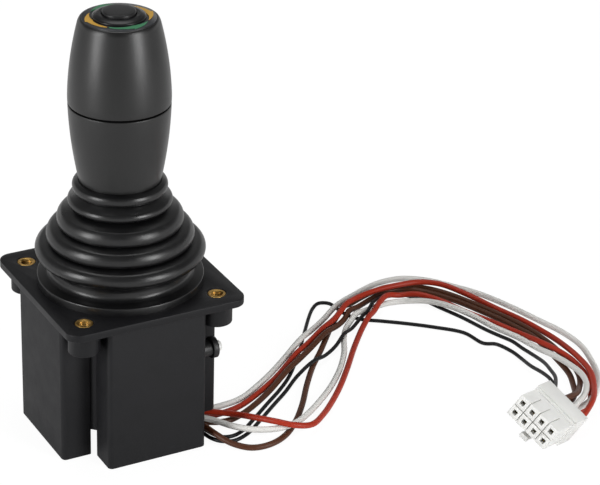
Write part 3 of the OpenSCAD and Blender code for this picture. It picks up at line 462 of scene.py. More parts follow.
# Polyester cases of the switch and the tilt sensors: slate grey and blue, half matte
SWITCH_PLASTIC = MouldedPlastic("moulded_switch_plastic", "switch_plastic", "#2f3236", 0.45)
SENSOR_PLASTIC = MouldedPlastic("moulded_sensor_plastic", "sensor_plastic", "#24405f", 0.35)
# Acetal of the magnet's carrier: charcoal, with the soft gloss of a slippery plastic
CARRIER_PLASTIC = MouldedPlastic("moulded_acetal_black", "grip_plastic", "#2a2a2c", 0.4)
# Polycarbonate film of the disc: smooth and even, so that the printed arrows stand out
DISC_LABEL = MouldedPlastic("polycarbonate_label", "disc_plastic", "#24262a", 0.32, 0.5,
                            grain_mm=0.3, grain_depth_mm=0.006, cloudiness=0.05)
# Black polyamide ring in the seam, made dead black without gloss as painted shade, so that the
# seam reads as a fine dark line
SEAM_PLASTIC_PAINTED_SHADE = MouldedPlastic("seam_plastic_painted_shade", "bezel_plastic", "#050505", 0.8, 0.05)
# Neoprene of the bellows: black with a soft wide gloss on every fold
BELLOWS_RUBBER = MouldedRubber("moulded_neoprene_black", "bellows_rubber", "#0c0c0d", 0.33)
# Nitrile rubber of the side bush and the strain relief: a duller black than the bellows
BUSH_RUBBER = MouldedRubber("moulded_nitrile_black", "bush_rubber", "#161617", 0.45, 0.4)
# Free-cutting brass of the inserts: yellow, with fine turning lines round the bore
INSERT_BRASS = Metal("turned_brass", "brass", "#c9a25c", 0.36, tooling=Tooling.TURNED,
                     line_mm=0.2)
# Tinned brass of the contacts, deep in their cells: metallic, darkened to a dull brown as painted
# shade of the cells
CONTACT_BRASS_PAINTED_SHADE = Metal("tinned_brass_painted_shade", "contact_brass", "#5d5640", 0.5)
# Sintered bronze of the bearings: warm, with a wide weak gloss
BRONZE = Metal("sintered_bronze", "bronze", "#b08a55", 0.45, tooling=Tooling.TURNED)
# Zinc plate on stamped steel: cool light grey with a fine speckle
PLATED_STEEL = Metal("zinc_plated_steel", "plated_steel", "#a9abad", 0.35)
# Ground steel of the pins and the lever: the brightest metal, with lines round it
GROUND_STEEL = Metal("ground_steel", "ground_steel", "#cfd1d3", 0.22, tooling=Tooling.TURNED)
# Drawn spring wire: bright grey with close drawing lines
SPRING_STEEL = Metal("drawn_spring_steel", "spring_steel", "#a2a5a8", 0.3,
                     tooling=Tooling.TURNED, line_mm=0.15)
# Machined aluminium of the gimbal and the plate: pale, with lines that run one way
ALUMINIUM = Metal("machined_aluminium", "machined_aluminium", "#b9bbbe", 0.34,
                  tooling=Tooling.BRUSHED)
# Sintered ferrite of the magnet: dark grey with a wide dull gloss
FERRITE = Metal("sintered_ferrite", "magnet_ferrite", "#5a5c60", 0.6)
# Natural polyamide of the pin, the washers and the connector: milky white with soft shadows
WHITE_NYLON = Nylon("natural_nylon", "white_nylon", "#dcdcda", 0.35)
CONNECTOR_NYLON = Nylon("moulded_nylon_white", "connector_nylon", "#dededb", 0.38, depth_mm=1.6)
# Lacquered glass laminate of the boards: glossy green with paler tracks
BOARD = SolderMask("green_solder_mask", "board_laminate", "#1f5a38", 0.25)
# Screen-printed inks of the arrows: flat colour that doesn't shine with the disc
YELLOW_INK = PrintedInk("screen_print_yellow", "yellow_ink", "#c89b3a", 0.5)
GREEN_INK = PrintedInk("screen_print_green", "green_ink", "#3f805a", 0.5)
# Extruded PVC of the wires: plain colours with a waxy highlight along each wire
WHITE_PVC = Insulation("pvc_white", "white_insulation", "#dcdbd7", 0.42)
RED_PVC = Insulation("pvc_red", "red_insulation", "#a02a12", 0.45)
BROWN_PVC = Insulation("pvc_brown", "brown_insulation", "#4c2814", 0.45)
BLACK_PVC = Insulation("pvc_black", "black_insulation", "#0a0a0c", 0.45)


# ------------------------------------------------------------------ shapes


def as_object(bm: bmesh.types.BMesh, name: str, sharp_angle: float = 40.0) -> Piece:
    """Turns a bmesh into a smooth-shaded object, with its place in its mesh.

    Args:
        bm: the finished shape, which is freed.
        name: the object's name.
        sharp_angle: edges that turn more than this many degrees stay sharp.

    Returns:
        The linked object.
    """
    mesh = bpy.data.meshes.new(name)
    bm.to_mesh(mesh)
    bm.free()
    mesh.shade_smooth()
    mesh.set_sharp_from_angle(angle=math.radians(sharp_angle))
    obj = bpy.data.objects.new(name, mesh)
    bpy.context.scene.collection.objects.link(obj)
    return obj


def spin_shape(bm: bmesh.types.BMesh, profile: Iterable[ProfilePoint], closed: bool = True,
               steps: int = 128, centre: tuple[float, float] = (0.0, 0.0)) -> None:
    """Turns a profile round an upright axis, as a lathe would, with its corners rounded first.

    Args:
        bm: the bmesh that gets the shape.
        profile: points with a radius, a height and a corner radius, in millimetres.
        closed: whether the last point joins the first one.
        steps: number of steps round the axis.
        centre: X and Y of the axis in millimetres.
    """
    points = list(profile)
    x0, y0 = centre
    verts = [bm.verts.new(((x0 + r) * MM, y0 * MM, z * MM)) for r, z, _ in points]
    edges = [bm.edges.new(pair) for pair in zip(verts, verts[1:])]
    if closed:
        edges.append(bm.edges.new((verts[-1], verts[0])))
    geometry = set(verts) | set(edges)
    for radius in sorted({p[2] for p in points if p[2] > 0}):
        corners = [v for v, p in zip(verts, points) if p[2] == radius]
        made = bmesh.ops.bevel(bm, geom=corners, offset=radius * MM, offset_type="OFFSET",
                               affect="VERTICES", segments=4, profile=0.5, material=-1,
                               clamp_overlap=True)
        geometry |= set(made["verts"]) | set(made["edges"])
    geometry = {g for g in geometry if g.is_valid}
    geometry |= {e for v in geometry if isinstance(v, bmesh.types.BMVert) for e in v.link_edges}
    bmesh.ops.spin(bm, geom=list(geometry), cent=(x0 * MM, y0 * MM, 0), axis=(0, 0, 1),
                   angle=math.tau, steps=steps, use_merge=True)
    bmesh.ops.remove_doubles(bm, verts=bm.verts, dist=MERGE)
    bmesh.ops.recalc_face_normals(bm, faces=bm.faces)


def finished(obj: Piece, node: str, finish: Finish, body: Body | None) -> Piece:
    """Gives a new piece its material, hides the node that it replaces and hangs it on its body.

    Args:
        obj: the piece.
        node: the CAD node that it replaces.
        finish: what it is made of.
        body: the body that carries it, or None to leave it unattached.

    Returns:
        The piece.
    """
    obj.data.materials.clear()
    obj.data.materials.append(finish.material())
    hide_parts(node)
    if body is not None:
        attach(obj, body.value)
    return obj


def turned(name: str, node: str, profile: Iterable[ProfilePoint], finish: Finish,
           body: Body | None, closed: bool = True, steps: int = 128) -> Piece:
    """Turns a piece round the joystick's own axis and finishes it.

    Args:
        name: the new piece's name.
        node: the CAD node that it replaces.
        profile: points with a radius, a height and a corner radius, in millimetres.
        finish: what it is made of.
        body: the body that carries it, or None to leave it unattached.
        closed: whether the last point joins the first one.
        steps: number of steps round the axis.

    Returns:
        The new piece.
    """
    bm = bmesh.new()
    spin_shape(bm, profile, closed, steps)
    return finished(as_object(bm, name), node, finish, body)


def softened(node: str, name: str, edge_mm: float, finish: Finish, body: Body = Body.BASE,
             segments: int = 3) -> Piece:
    """Copies a CAD node, merges its triangles, rounds its sharp edges and finishes it.

    Args:
        node: the CAD node, which the copy replaces.
        name: the new piece's name.
        edge_mm: radius of the rounded edges.
        finish: what it is made of.
        body: the body that carries it.
        segments: number of steps across a rounded edge.

    Returns:
        The new piece.
    """
    bm = bmesh.new()
    bm.from_mesh(NODES[node].data)
    bmesh.ops.remove_doubles(bm, verts=bm.verts, dist=MERGE)
    bmesh.ops.dissolve_limit(bm, angle_limit=math.radians(FLAT_ANGLE), verts=bm.verts,
                             edges=bm.edges)
    obj = as_object(bm, name, sharp_angle=180)
    edge = obj.modifiers.new("rounded_edges", "BEVEL")
    edge.width = edge_mm * MM
    edge.segments = segments
    edge.limit_method = "ANGLE"
    edge.angle_limit = math.radians(EDGE_ANGLE)
    edge.harden_normals = True
    edge.use_clamp_overlap = True
    return finished(obj, node, finish, body)


def bend(obj: Piece) -> None:
    """Bakes a piece's placement into its mesh."""
    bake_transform(obj)


def dress(node: str, finish: Finish) -> Piece:
    """Gives a CAD node a better material.

    Args:
        node: the node, which keeps its shape.
        finish: what it is made of.

    Returns:
        The node's object.
    """
    obj = NODES[node]
    for material_slot in obj.material_slots:
        material_slot.material = finish.material()
    return obj


@dataclass
class SubAssembly(ABC):
    """A group of pieces that is built and finished together."""

    @abstractmethod
    def build(self) -> list[Piece]:
        """Builds and finishes the pieces and returns them."""


# ------------------------------------------------------------------ connector and wires


@dataclass
class Connector(SubAssembly):
    """Free eight-way housing at the end of the wires.

    Attributes:
        place: middle of its wire face, in millimetres.
        turn: its turns about X, Y and Z, in degrees.
        pitch: distance between its contacts.
        edge: radius of its moulded edges.
    """

    place: Vector = field(default_factory=lambda: Vector((122.4, -70.1, 8.7)))
    turn: tuple[float, float, float] = (-29, -16, 211)
    pitch: float = 4.2
    edge: float = 0.25

    def at(self, x: float, y: float, z: float) -> Vector:
        """Returns a point of the connector's own frame in the joystick's frame, in millimetres."""
        turn = Euler([math.radians(a) for a in self.turn], "XYZ").to_matrix()
        return self.place + turn @ Vector((x, y, z))

    def build(self) -> list[Piece]:
        """Rounds the housing's edges and dresses the contacts."""
        return [softened("connector_housing", "connector_moulding", self.edge, CONNECTOR_NYLON,
                         segments=2),
                dress("connector_contacts", CONTACT_BRASS_PAINTED_SHADE)]


@dataclass(frozen=True)
class Wire:
    """One wire of the harness.

    Attributes:
        name: the wire's name, shared with its CAD node.
        finish: its insulation.
        diameter: outer diameter in millimetres.
        length: length from the strain relief to the connector, in millimetres.
        start: Y and Z where it leaves the strain relief.
        column: column of its contact, 0 to 3.
        row: row of its contact, -1 or 1.
        route: the points between its straight ends, in millimetres.
    """

    name: str
    finish: Insulation
    diameter: float
    length: float
    start: tuple[float, float]
    column: int
    row: int
    route: tuple[tuple[float, float, float], ...]


@dataclass
class WireHarness(SubAssembly):
    """The strain relief and the eight wires that run from it to the connector.

    Attributes:
        connector: where the wires end.
        plug_pieces: the pieces at their far end; not used.
        exit_x: X of the strain relief's outer face.
        relief_edge: radius of its edges.
        first_step: length of the straight start of a wire.
        last_step: length of the straight end of a wire.
        thick: diameter of the white, red and brown wires.
        thin: diameter of the black wires.
        middle_column: the connector's middle, counted in columns.
    """

    connector: Connector
    plug_pieces: list[Piece]
    exit_x: float = 5.0
    relief_edge: float = 0.3
    first_step: float = 2.5
    last_step: float = 4.0
    thick: float = 2.0
    thin: float = 1.3
    middle_column: float = 1.5

    def wires(self) -> list[Wire]:
        """Returns the wires, from the farthest loop inwards."""
        return [
            Wire("white_wire_1", WHITE_PVC, self.thick, 284, (-2, 1.3), 2, -1, (
                (12, -3.8, 1.1), (18, -6.5, 1), (24, -8.3, 1), (31, -9, 1), (39, -7.8, 1),
                (47, -3.4, 1), (56, 2.6, 1.2), (64, 8.5, 1.7), (70, 13, 2.4), (75.6, 17, 2.9),
                (81, 20.9, 2.2), (89, 26.7, 1.8), (97.4, 32.4, 2.7), (108, 38.9, 1.3),
                (119, 43.2, 1), (129, 43.3, 1), (137, 38.5, 1), (143, 31, 1), (149.5, 20.5, 1),
                (154, 8.5, 1), (157.5, -4, 1), (160.5, -15.5, 1), (161, -26, 1), (158.5, -36, 1),
                (154.5, -46, 1.2), (147.5, -56, 3), (139.5, -63, 4.2), (133, -66, 4.6))),
            Wire("red_wire_1", RED_PVC, self.thick, 271, (-4.7, 1.3), 3, 1, (
                (12, -6.5, 1.1), (18, -9.8, 1), (25, -13, 1), (32, -13.1, 1), (39, -11, 1),
                (48, -5.9, 1), (56, -0.6, 1), (62, 3.7, 1.6), (68.5, 8.4, 2.6), (74, 12, 2.5),
                (79, 15.3, 2.8), (84.5, 18.9, 3.3), (91, 22.8, 3.4), (95.5, 26, 4),
                (99.3, 28.9, 4.6), (104, 31.8, 4), (111, 34.5, 3.4), (118, 35.4, 3.4),
                (125, 35.2, 3.4), (132, 34, 3.4), (138.4, 29.3, 3.3), (144, 21, 2),
                (148.8, 9.5, 1), (152.5, -2, 1), (154.5, -13, 1.2), (154.5, -23.5, 2.2),
                (152, -37.5, 4.4), (149, -49, 5.5), (144, -58.5, 5.8), (137.5, -67, 6.8))),
            Wire("brown_wire_1", BROWN_PVC, self.thick, 264, (-7.4, 1.3), 1, -1, (
                (12, -9.4, 1.1), (18, -12.8, 1), (23.5, -16.6, 1), (29, -18.4, 1), (35, -16.8, 1),
                (42, -13, 1), (50, -7.5, 1), (57, -2.6, 1.9), (62, 0.8, 2.6), (67, 4.2, 2.5),
                (74, 9, 2.7), (83.5, 15.3, 3.5), (91, 20.1, 2.3), (96, 24, 1.8), (99.6, 27.1, 2.7),
                (105, 30.4, 1.4), (112, 34, 1), (119, 36.5, 1), (125, 36, 1), (130, 33, 1),
                (134.8, 27.4, 1), (139.2, 19.5, 1), (142.9, 10, 1), (146, 1, 1), (148, -7, 1),
                (149.5, -14, 1), (149, -23, 1), (148, -32, 1), (146.5, -40.5, 1),
                (143.5, -47.5, 1.1), (139, -55, 2.6), (132, -62, 5))),
            Wire("black_wire_1", BLACK_PVC, self.thin, 256, (-10, 1.3), 0, -1, (
                (11.5, -11.6, 0.8), (15, -13.2, 0.7), (17.8, -15, 0.7), (19.8, -17.8, 0.7),
                (20.8, -21.2, 0.7), (22, -24.4, 0.7), (24.2, -26.6, 0.7), (27.6, -26.9, 0.7),
                (32, -24.9, 0.7), (38, -20.3, 0.7), (46, -13.9, 0.7), (54, -7.6, 0.7),
                (60.5, -1.6, 0.7), (67, 6, 0.7), (73.5, 14.5, 0.7), (80, 23.5, 0.7),
                (86, 31.7, 0.7), (90.3, 36.9, 0.7), (94.2, 39.7, 0.7), (97.6, 38, 0.7),
                (98.4, 33, 0.7), (99.2, 28, 0.7), (102.2, 23, 0.7), (108, 18.8, 0.7),
                (115, 13.5, 0.7), (122.5, 7, 0.7), (129.5, -0.5, 0.7), (131.5, -9.5, 0.7),
                (135.5, -12.5, 0.7), (137.5, -19, 0.7), (137.5, -25, 1), (136, -33, 2.6),
                (135, -41.5, 4.6), (133.5, -48.5, 6), (130.5, -55.5, 6.8))),
            Wire("white_wire_2", WHITE_PVC, self.thick, 271, (-7.7, 3.9), 2, 1, (
                (11.5, -9.5, 3.7), (15.2, -11.7, 3.5), (19, -14.6, 3.4), (23.5, -19.6, 3.4),
                (27.5, -25.5, 3.3), (33, -30.5, 3.3), (40, -33, 3.3), (47, -32.2, 3.3),
                (54, -28, 3), (62, -21, 1.8), (70, -13.5, 1), (78, -5, 1), (85, 4.5, 1),
                (89.8, 13.3, 1), (93.5, 18.6, 1.1), (97, 21.6, 1.8), (100.8, 24.3, 2.7),
                (105, 26.7, 1.4), (110, 28.2, 1), (116, 28.9, 1), (122.5, 27.6, 1),
                (128, 22.8, 2.1), (132.5, 15.8, 2.8), (137, 7.5, 2.2), (140.9, -2, 1),
                (144.5, -12, 1), (146, -21.5, 1.4), (146.5, -31.5, 3.2), (146.5, -40.5, 4.4),
                (146, -48, 5), (143, -55.5, 5.8), (137.5, -62.5, 6.8), (131, -67.5, 7.6))),
            Wire("red_wire_2", RED_PVC, self.thick, 285, (-4.6, 3.9), 3, -1, (
                (13, -6.9, 3.6), (19.5, -11, 3.4), (25.5, -15, 3.4), (31, -20, 3.9),
                (35, -26.5, 5.1), (39, -32.5, 5.9), (44.5, -36, 4.9), (51, -35.5, 3.3),
                (58, -30, 2.2), (65.5, -22.5, 1.2), (73, -14.5, 1), (81, -5, 1), (88.5, 4.5, 1),
                (94.5, 11.6, 1.1), (99, 16.4, 1.6), (103.6, 20.4, 2.7), (107.5, 23.5, 2.5),
                (111.5, 26.8, 3.4), (117, 30.8, 3), (122.3, 31, 1.8), (127.3, 27.6, 2.7),
                (132.6, 21.3, 2.2), (137.5, 12.5, 1), (142.8, 0, 1), (146.5, -10.5, 1.2),
                (147.5, -20.5, 3), (149.5, -30, 3.4), (150, -38.5, 3.4), (148.5, -48, 3.1),
                (146.5, -53.5, 1.3), (141.5, -60, 1.3), (134.5, -64.5, 1.8))),
            Wire("brown_wire_2", BROWN_PVC, self.thick, 297, (-10.8, 3.9), 1, 1, (
                (11, -12.2, 3.7), (14.8, -14.2, 3.4), (17.9, -17, 3.3), (19.4, -21.5, 3.2),
                (20.6, -27, 3), (23.5, -32.4, 1.8), (28.5, -36.4, 1), (35, -37.2, 1),
                (42, -34.3, 1), (49, -28, 1), (56, -19.5, 1), (63, -9.5, 1), (70.5, 0.3, 1),
                (78, 8.6, 1), (84, 15.6, 1), (90, 22.6, 1), (95, 27.3, 1.7), (99, 30.4, 2.7),
                (104, 33.4, 1.6), (111, 37, 1), (118, 39.2, 1), (124, 39.2, 1), (130, 36.4, 1),
                (135.4, 31.4, 1), (139.9, 24.2, 1), (143.9, 14.5, 1), (147.5, 4.5, 1),
                (150, -4, 1), (151.5, -12.5, 1), (152, -21, 1), (151.5, -29.5, 1), (150.5, -38, 1),
                (147.5, -45.5, 1.4), (141, -54.5, 4.2), (134, -62.5, 8))),
            Wire("black_wire_2", BLACK_PVC, self.thin, 259, (-12.3, 1.3), 0, 1, (
                (11, -13.7, 0.8), (14, -14.9, 0.7), (16.5, -16.3, 0.7), (18.2, -18.7, 0.7),
                (19, -22, 0.7), (20, -25.6, 0.7), (22.2, -28.5, 0.7), (26.2, -29.8, 0.7),
                (32, -27.6, 0.7), (39, -22.3, 0.7), (47, -15.9, 0.7), (55, -9.6, 0.7),
                (62.5, -3.6, 1.5), (70.6, 0.6, 3), (77.5, 4.2, 1.9), (84, 8.5, 1.9),
                (89.5, 12.8, 3), (95, 16.8, 2), (101.7, 22, 2.3), (105.5, 24.6, 2.3),
                (109, 27.7, 3), (113.2, 31.4, 2.1), (118.5, 33.6, 0.8), (124.3, 32.4, 0.7),
                (128.9, 26.2, 0.7), (131.7, 18, 0.7), (134.8, 9, 0.7), (137.5, -1.5, 0.7),
                (139.5, -7.5, 0.7), (141.5, -13, 0.7), (142, -18.5, 0.7), (141.5, -26.5, 2),
                (139.5, -35.5, 4.4), (136, -44.5, 7), (132.5, -52.5, 9))),
        ]

    def points(self, wire: Wire) -> list[Vector]:
        """Works out a wire's whole route, held up by its own radius.

        Args:
            wire: the wire.

        Returns:
            Its points in metres, from the strain relief to the connector.
        """
        y, z = wire.start
        column = (wire.column - self.middle_column) * self.connector.pitch
        row = wire.row * self.connector.pitch / 2
        whole = [Vector((self.exit_x, y, z)), Vector((self.exit_x + self.first_step, y, z)),
                 *map(Vector, wire.route),
                 self.connector.at(-self.last_step, column, row),
                 self.connector.at(0, column, row)]
        return [Vector((p.x, p.y, max(p.z, wire.diameter / 2))) * MM for p in whole]

    def lay(self, wire: Wire) -> Piece:
        """Args:
            wire: the wire.

        Returns:
            The curve.
        """
        points = self.points(wire)
        curve = bpy.data.curves.new(wire.name + "_insulation", "CURVE")
        curve.dimensions = "3D"
        curve.bevel_depth = wire.diameter / 2 * MM
        curve.bevel_resolution = 4
        curve.resolution_u = 6
        curve.use_fill_caps = True
        spline = curve.splines.new("BEZIER")
        spline.bezier_points.add(len(points) - 1)
        for i, (knot, point) in enumerate(zip(spline.bezier_points, points)):
            # A handle is a third of the mean step between the neighbours
            before, after = points[max(i - 1, 0)], points[min(i + 1, len(points) - 1)]
            reach = (after - before) / 6
            knot.co = point
            knot.handle_left_type = knot.handle_right_type = "FREE"
            knot.handle_left, knot.handle_right = point - reach, point + reach
        obj = bpy.data.objects.new(curve.name, curve)
        bpy.context.scene.collection.objects.link(obj)
        finished(obj, wire.name, wire.finish, Body.BASE)
        return obj

    def build(self) -> list[Piece]:
        """Lays the wires and finishes the strain relief."""
        relief = softened("cable_grommet", "strain_relief", self.relief_edge, BUSH_RUBBER,
                          segments=2)
        return [self.lay(wire) for wire in self.wires()] + [relief]


# ------------------------------------------------------------------ housing


@dataclass
class Housing(SubAssembly):
    """Flange with its threaded inserts, core, pods, side bush and bottom cover.

    Attributes:
        flange_edge: radius of the flange's edges.
        core_edge: radius of the core's edges.
        bush_edge: radius of the side bush's edges.
        pod_edge: radius of a pod's edges.
        pin_edge: radius of the side pin's edges.
        cover_edge: radius of the bottom cover's edges.
        insert_radius: outer radius of a threaded insert.
        bore_radius: core radius of its thread.
        thread_depth: depth of the thread.
        thread_pitch: pitch of the thread.
        threads: number of threads that are cut.
        insert_chamfer: chamfer at the mouth of the bore.
        insert_steps: number of steps round an insert.
        groove: depths below the top where the groove round an insert begins and ends.
        groove_depth: how far that groove is cut in.
    """

    flange_edge: float = 0.45
    core_edge: float = 0.3
    bush_edge: float = 0.3
    pod_edge: float = 0.4
    pin_edge: float = 0.2
    cover_edge: float = 0.25
    insert_radius: float = 2.8
    bore_radius: float = 1.65
    thread_depth: float = 0.34
    thread_pitch: float = 0.7
    threads: int = 8
    insert_chamfer: float = 0.45
    insert_steps: int = 40
    groove: tuple[float, float] = (4.25, 5.05)
    groove_depth: float = 0.4

    def insert_profile(self) -> list[ProfilePoint]:
        """Works out the outline of an insert: groove outside, thread inside.

        Returns:
            Its closed profile, with radii from the insert's own axis.
        """
        top, foot = high("threaded_inserts"), low("threaded_inserts")
        outer, neck = self.insert_radius, self.insert_radius - self.groove_depth
        upper, lower = (top - depth for depth in self.groove)
        start = top - self.insert_chamfer
        thread = [point for i in range(self.threads) for point in (
            (self.bore_radius, start - i * self.thread_pitch, 0.0),
            (self.bore_radius + self.thread_depth, start - (i + 0.5) * self.thread_pitch, 0.0))]
        return [(outer, foot, 0.0), (outer, lower, 0.0), (neck, lower, 0.0), (neck, upper, 0.0),
                (outer, upper, 0.0), (outer, top, 0.12),
                (self.bore_radius + self.insert_chamfer, top, 0.08), *thread,
                (self.bore_radius, start - self.threads * self.thread_pitch, 0.0),
                (self.bore_radius, foot, 0.0)]

    def inserts(self) -> Piece:
        """Turns the four threaded inserts at the corners of the flange.

        Returns:
            The inserts, as one piece.
        """
        corner = high("threaded_inserts", 0) - self.insert_radius
        profile = self.insert_profile()
        whole = bmesh.new()
        for x in (-corner, corner):
            for y in (-corner, corner):
                single = bmesh.new()
                spin_shape(single, profile, steps=self.insert_steps, centre=(x, y))
                mesh = bpy.data.meshes.new("insert")
                single.to_mesh(mesh)
                single.free()
                whole.from_mesh(mesh)
                bpy.data.meshes.remove(mesh)
        return finished(as_object(whole, "turned_inserts", sharp_angle=30), "threaded_inserts",
                        INSERT_BRASS, Body.BASE)

    def build(self) -> list[Piece]:
        """Rounds the mouldings' edges, turns the inserts and dresses the screws."""
        return [
            softened("mounting_flange", "flange_moulding", self.flange_edge, FLANGE_PLASTIC),
            softened("core_housing", "core_moulding", self.core_edge, CORE_PLASTIC),
            self.inserts(),
            softened("side_bush", "side_bush_moulding", self.bush_edge, BUSH_RUBBER),
            softened("side_pin", "side_pin_turned", self.pin_edge, WHITE_NYLON),
            softened("bottom_cover", "bottom_cover_moulding", self.cover_edge, CORE_PLASTIC),
            *[softened(pod, pod + "_moulding", self.pod_edge, POD_PLASTIC)
              for pod in ("front_pod", "rear_pod", "left_pod", "right_pod")],
            dress("cover_screws", PLATED_STEEL)]


# ------------------------------------------------------------------ bellows


@dataclass(frozen=True)
class Fold:
    """One fold of the bellows: an elliptic arc from its lip up to the next groove.

    Attributes:
        radius: radius of the arc's middle.
        height: height of the arc's middle.
        reach: how far the arc stands out.
        rise: how far it rises.
        lip_angle: where the arc starts, in degrees.
    """

    radius: float
    height: float
    reach: float
    rise: float
    lip_angle: float

    def at(self, angle: float, inset: float = 0.0) -> tuple[float, float]:
        """Returns the point of the arc at an angle, moved in by a wall thickness."""
        a = math.radians(angle)
        return (self.radius + (self.reach - inset) * math.cos(a),
                self.height + (self.rise - inset) * math.sin(a))


@dataclass
class Bellows(SubAssembly):
    """Rubber bellows between the flange and the grip, in two skins that meet in a groove.

    The lower skin runs from the flange to that groove, and the upper one on to the grip.

    Attributes:
        wall: thickness of the rubber.
        groove: depth of a groove behind the next fold's lip.
        split_groove: share of that depth where the skins meet, which clears the tilted lever.
        neck_groove: share of that depth below the collar.
        groove_drop: how far a groove's bottom lies below the next fold's lip.
        groove_round: radius of a groove's bottom.
        fold_end: angle where a fold ends in the groove above it, in degrees.
        inner_trim: angles that the inner side leaves out at a fold's top and lip, in degrees.
        steps: number of points along a fold.
        lip_round: radius of a fold's lip.
        top_round: radius where a fold runs into the groove above it.
        split: number of folds in the lower skin.
        foot_radius: radius of the foot on the flange.
        foot_height: height of the foot.
        tuck: how far the collar hangs below the grip's lower end.
        spin_steps: number of steps round the axis.
    """

    wall: float = 0.9
    groove: float = 3.0
    split_groove: float = 0.6
    neck_groove: float = 0.3
    groove_drop: float = 0.1
    groove_round: float = 0.25
    fold_end: float = 52
    inner_trim: tuple[float, float] = (12, 22)
    steps: int = 12
    lip_round: float = 0.3
    top_round: float = 0.45
    split: int = 2
    foot_radius: float = 26.2
    foot_height: float = 2.5
    tuck: float = 2.4
    spin_steps: int = 160

    def __post_init__(self) -> None:
        """Places the folds between the flange and the grip."""
        self.floor = high("mounting_flange")
        self.collar = low("lower_grip")
        rise = self.collar - self.floor
        # Radius, height, reach, rise and lip angle of each fold, from below
        self.folds = [Fold(22.5, self.floor + 0.34 * rise, 4.2, 3.1, -60),
                      Fold(19.3, self.floor + 0.49 * rise, 3.85, 3.5, -28),
                      Fold(15.8, self.floor + 0.658 * rise, 4.0, 3.7, -25),
                      Fold(13.6, self.floor + 0.848 * rise, 2.7, 1.9, -45),
                      Fold(13.5, self.collar - 0.1, 1.35, 1.7, -70)]

    def groove_point(self, index: int, inset: float) -> ProfilePoint:
        """Places the bottom of the groove above a fold.

        Args:
            index: the fold's number, from below.
            inset: the rubber's thickness for the inner side, or 0 for the outer one.

        Returns:
            The profile point.
        """
        after = self.folds[index + 1]
        r, z = after.at(after.lip_angle)
        share = {self.split - 1: self.split_groove, len(self.folds) - 2: self.neck_groove}
        depth = self.groove * share.get(index, 1.0)
        return (r - depth - inset, z - self.groove_drop, 0.0 if inset else self.groove_round)

    def outside(self, index: int) -> list[ProfilePoint]:
        """Follows the outer side of a fold, from its lip up.

        Args:
            index: the fold's number, from below.

        Returns:
            Its profile points.
        """
        fold = self.folds[index]
        corners = {0: self.lip_round, self.steps: self.top_round}
        return [(*fold.at(fold.lip_angle + (self.fold_end - fold.lip_angle) * i / self.steps),
                 corners.get(i, 0.0)) for i in range(self.steps + 1)]

    def inside(self, index: int) -> list[ProfilePoint]:
        """Follows the inner side of a fold, from its top down.

        Args:
            index: the fold's number, from below.

        Returns:
            Its profile points.
        """
        fold = self.folds[index]
        first, last = self.fold_end - self.inner_trim[0], fold.lip_angle + self.inner_trim[1]
        return [(*fold.at(first + (last - first) * i / self.steps, self.wall), 0.0)
                for i in range(self.steps + 1)]

    def down_inside(self, first: int, end: int) -> list[ProfilePoint]:
        """Returns the inner side of several folds and the grooves above them, from the top."""
        return [point for i in reversed(range(first, end))
                for point in (self.groove_point(i, self.wall), *self.inside(i))]

    def up_outside(self, first: int, end: int) -> list[ProfilePoint]:
        """Returns the outer side of several folds and the grooves above them, from below."""
        return [point for i in range(first, end)
                for point in (*self.outside(i), self.groove_point(i, 0))]

    def lower_profile(self) -> list[ProfilePoint]:
        """Returns the closed outline of the lower skin."""
        foot, top = self.foot_radius, self.floor + self.foot_height
        # Up the rim and the step of the foot, over the folds and back, and down inside the step
        return [(foot, self.floor, 0.0), (foot, top, 0.35), (foot - 3.0, top + 0.35, 0.3),
                (foot - 4.2, top + 1.2, 0.6), (foot - 4.4, top + 3.4, 0.5),
                (foot - 3.9, top + 4.7, 0.3),
                *self.up_outside(0, self.split), *self.down_inside(0, self.split),
                (foot - 5.1, top + 4.4, 0.0), (foot - 5.3, top + 1.5, 0.0),
                (foot - 4, top - 0.5, 0.0), (foot - 4, self.floor, 0.0)]

    def upper_profile(self) -> list[ProfilePoint]:
        """Works out the outline of the upper skin, up to its collar round the grip.

        Returns:
            Its closed profile.
        """
        last = len(self.folds) - 1
        neck = self.folds[last].radius - 0.2
        return [self.groove_point(self.split - 1, 0), *self.up_outside(self.split, last),
                *self.outside(last), (neck - 0.45, self.collar + 2.0, 0.25),
                (neck - 0.4, self.collar + 0.2, 0.0), (neck, self.collar - self.tuck, 0.0),
                *self.down_inside(self.split, last), self.groove_point(self.split - 1, self.wall)]

    def build(self) -> list[Piece]:
        """Turns the two skins and bakes their placement into their meshes.

        Returns:
            The skins and the retaining ring.
        """
        lower = turned("bellows_lower_skin", "bellows", self.lower_profile(), BELLOWS_RUBBER,
                       None, steps=self.spin_steps)
        upper = turned("bellows_upper_skin", "bellows", self.upper_profile(), BELLOWS_RUBBER,
                       None, steps=self.spin_steps)
        middle = self.groove_point(self.split - 1, 0)[1]
        bend(lower)
        bend(upper)
        return [lower, upper, dress("bellows_retaining_ring", PLATED_STEEL)]


# ------------------------------------------------------------------ mechanism


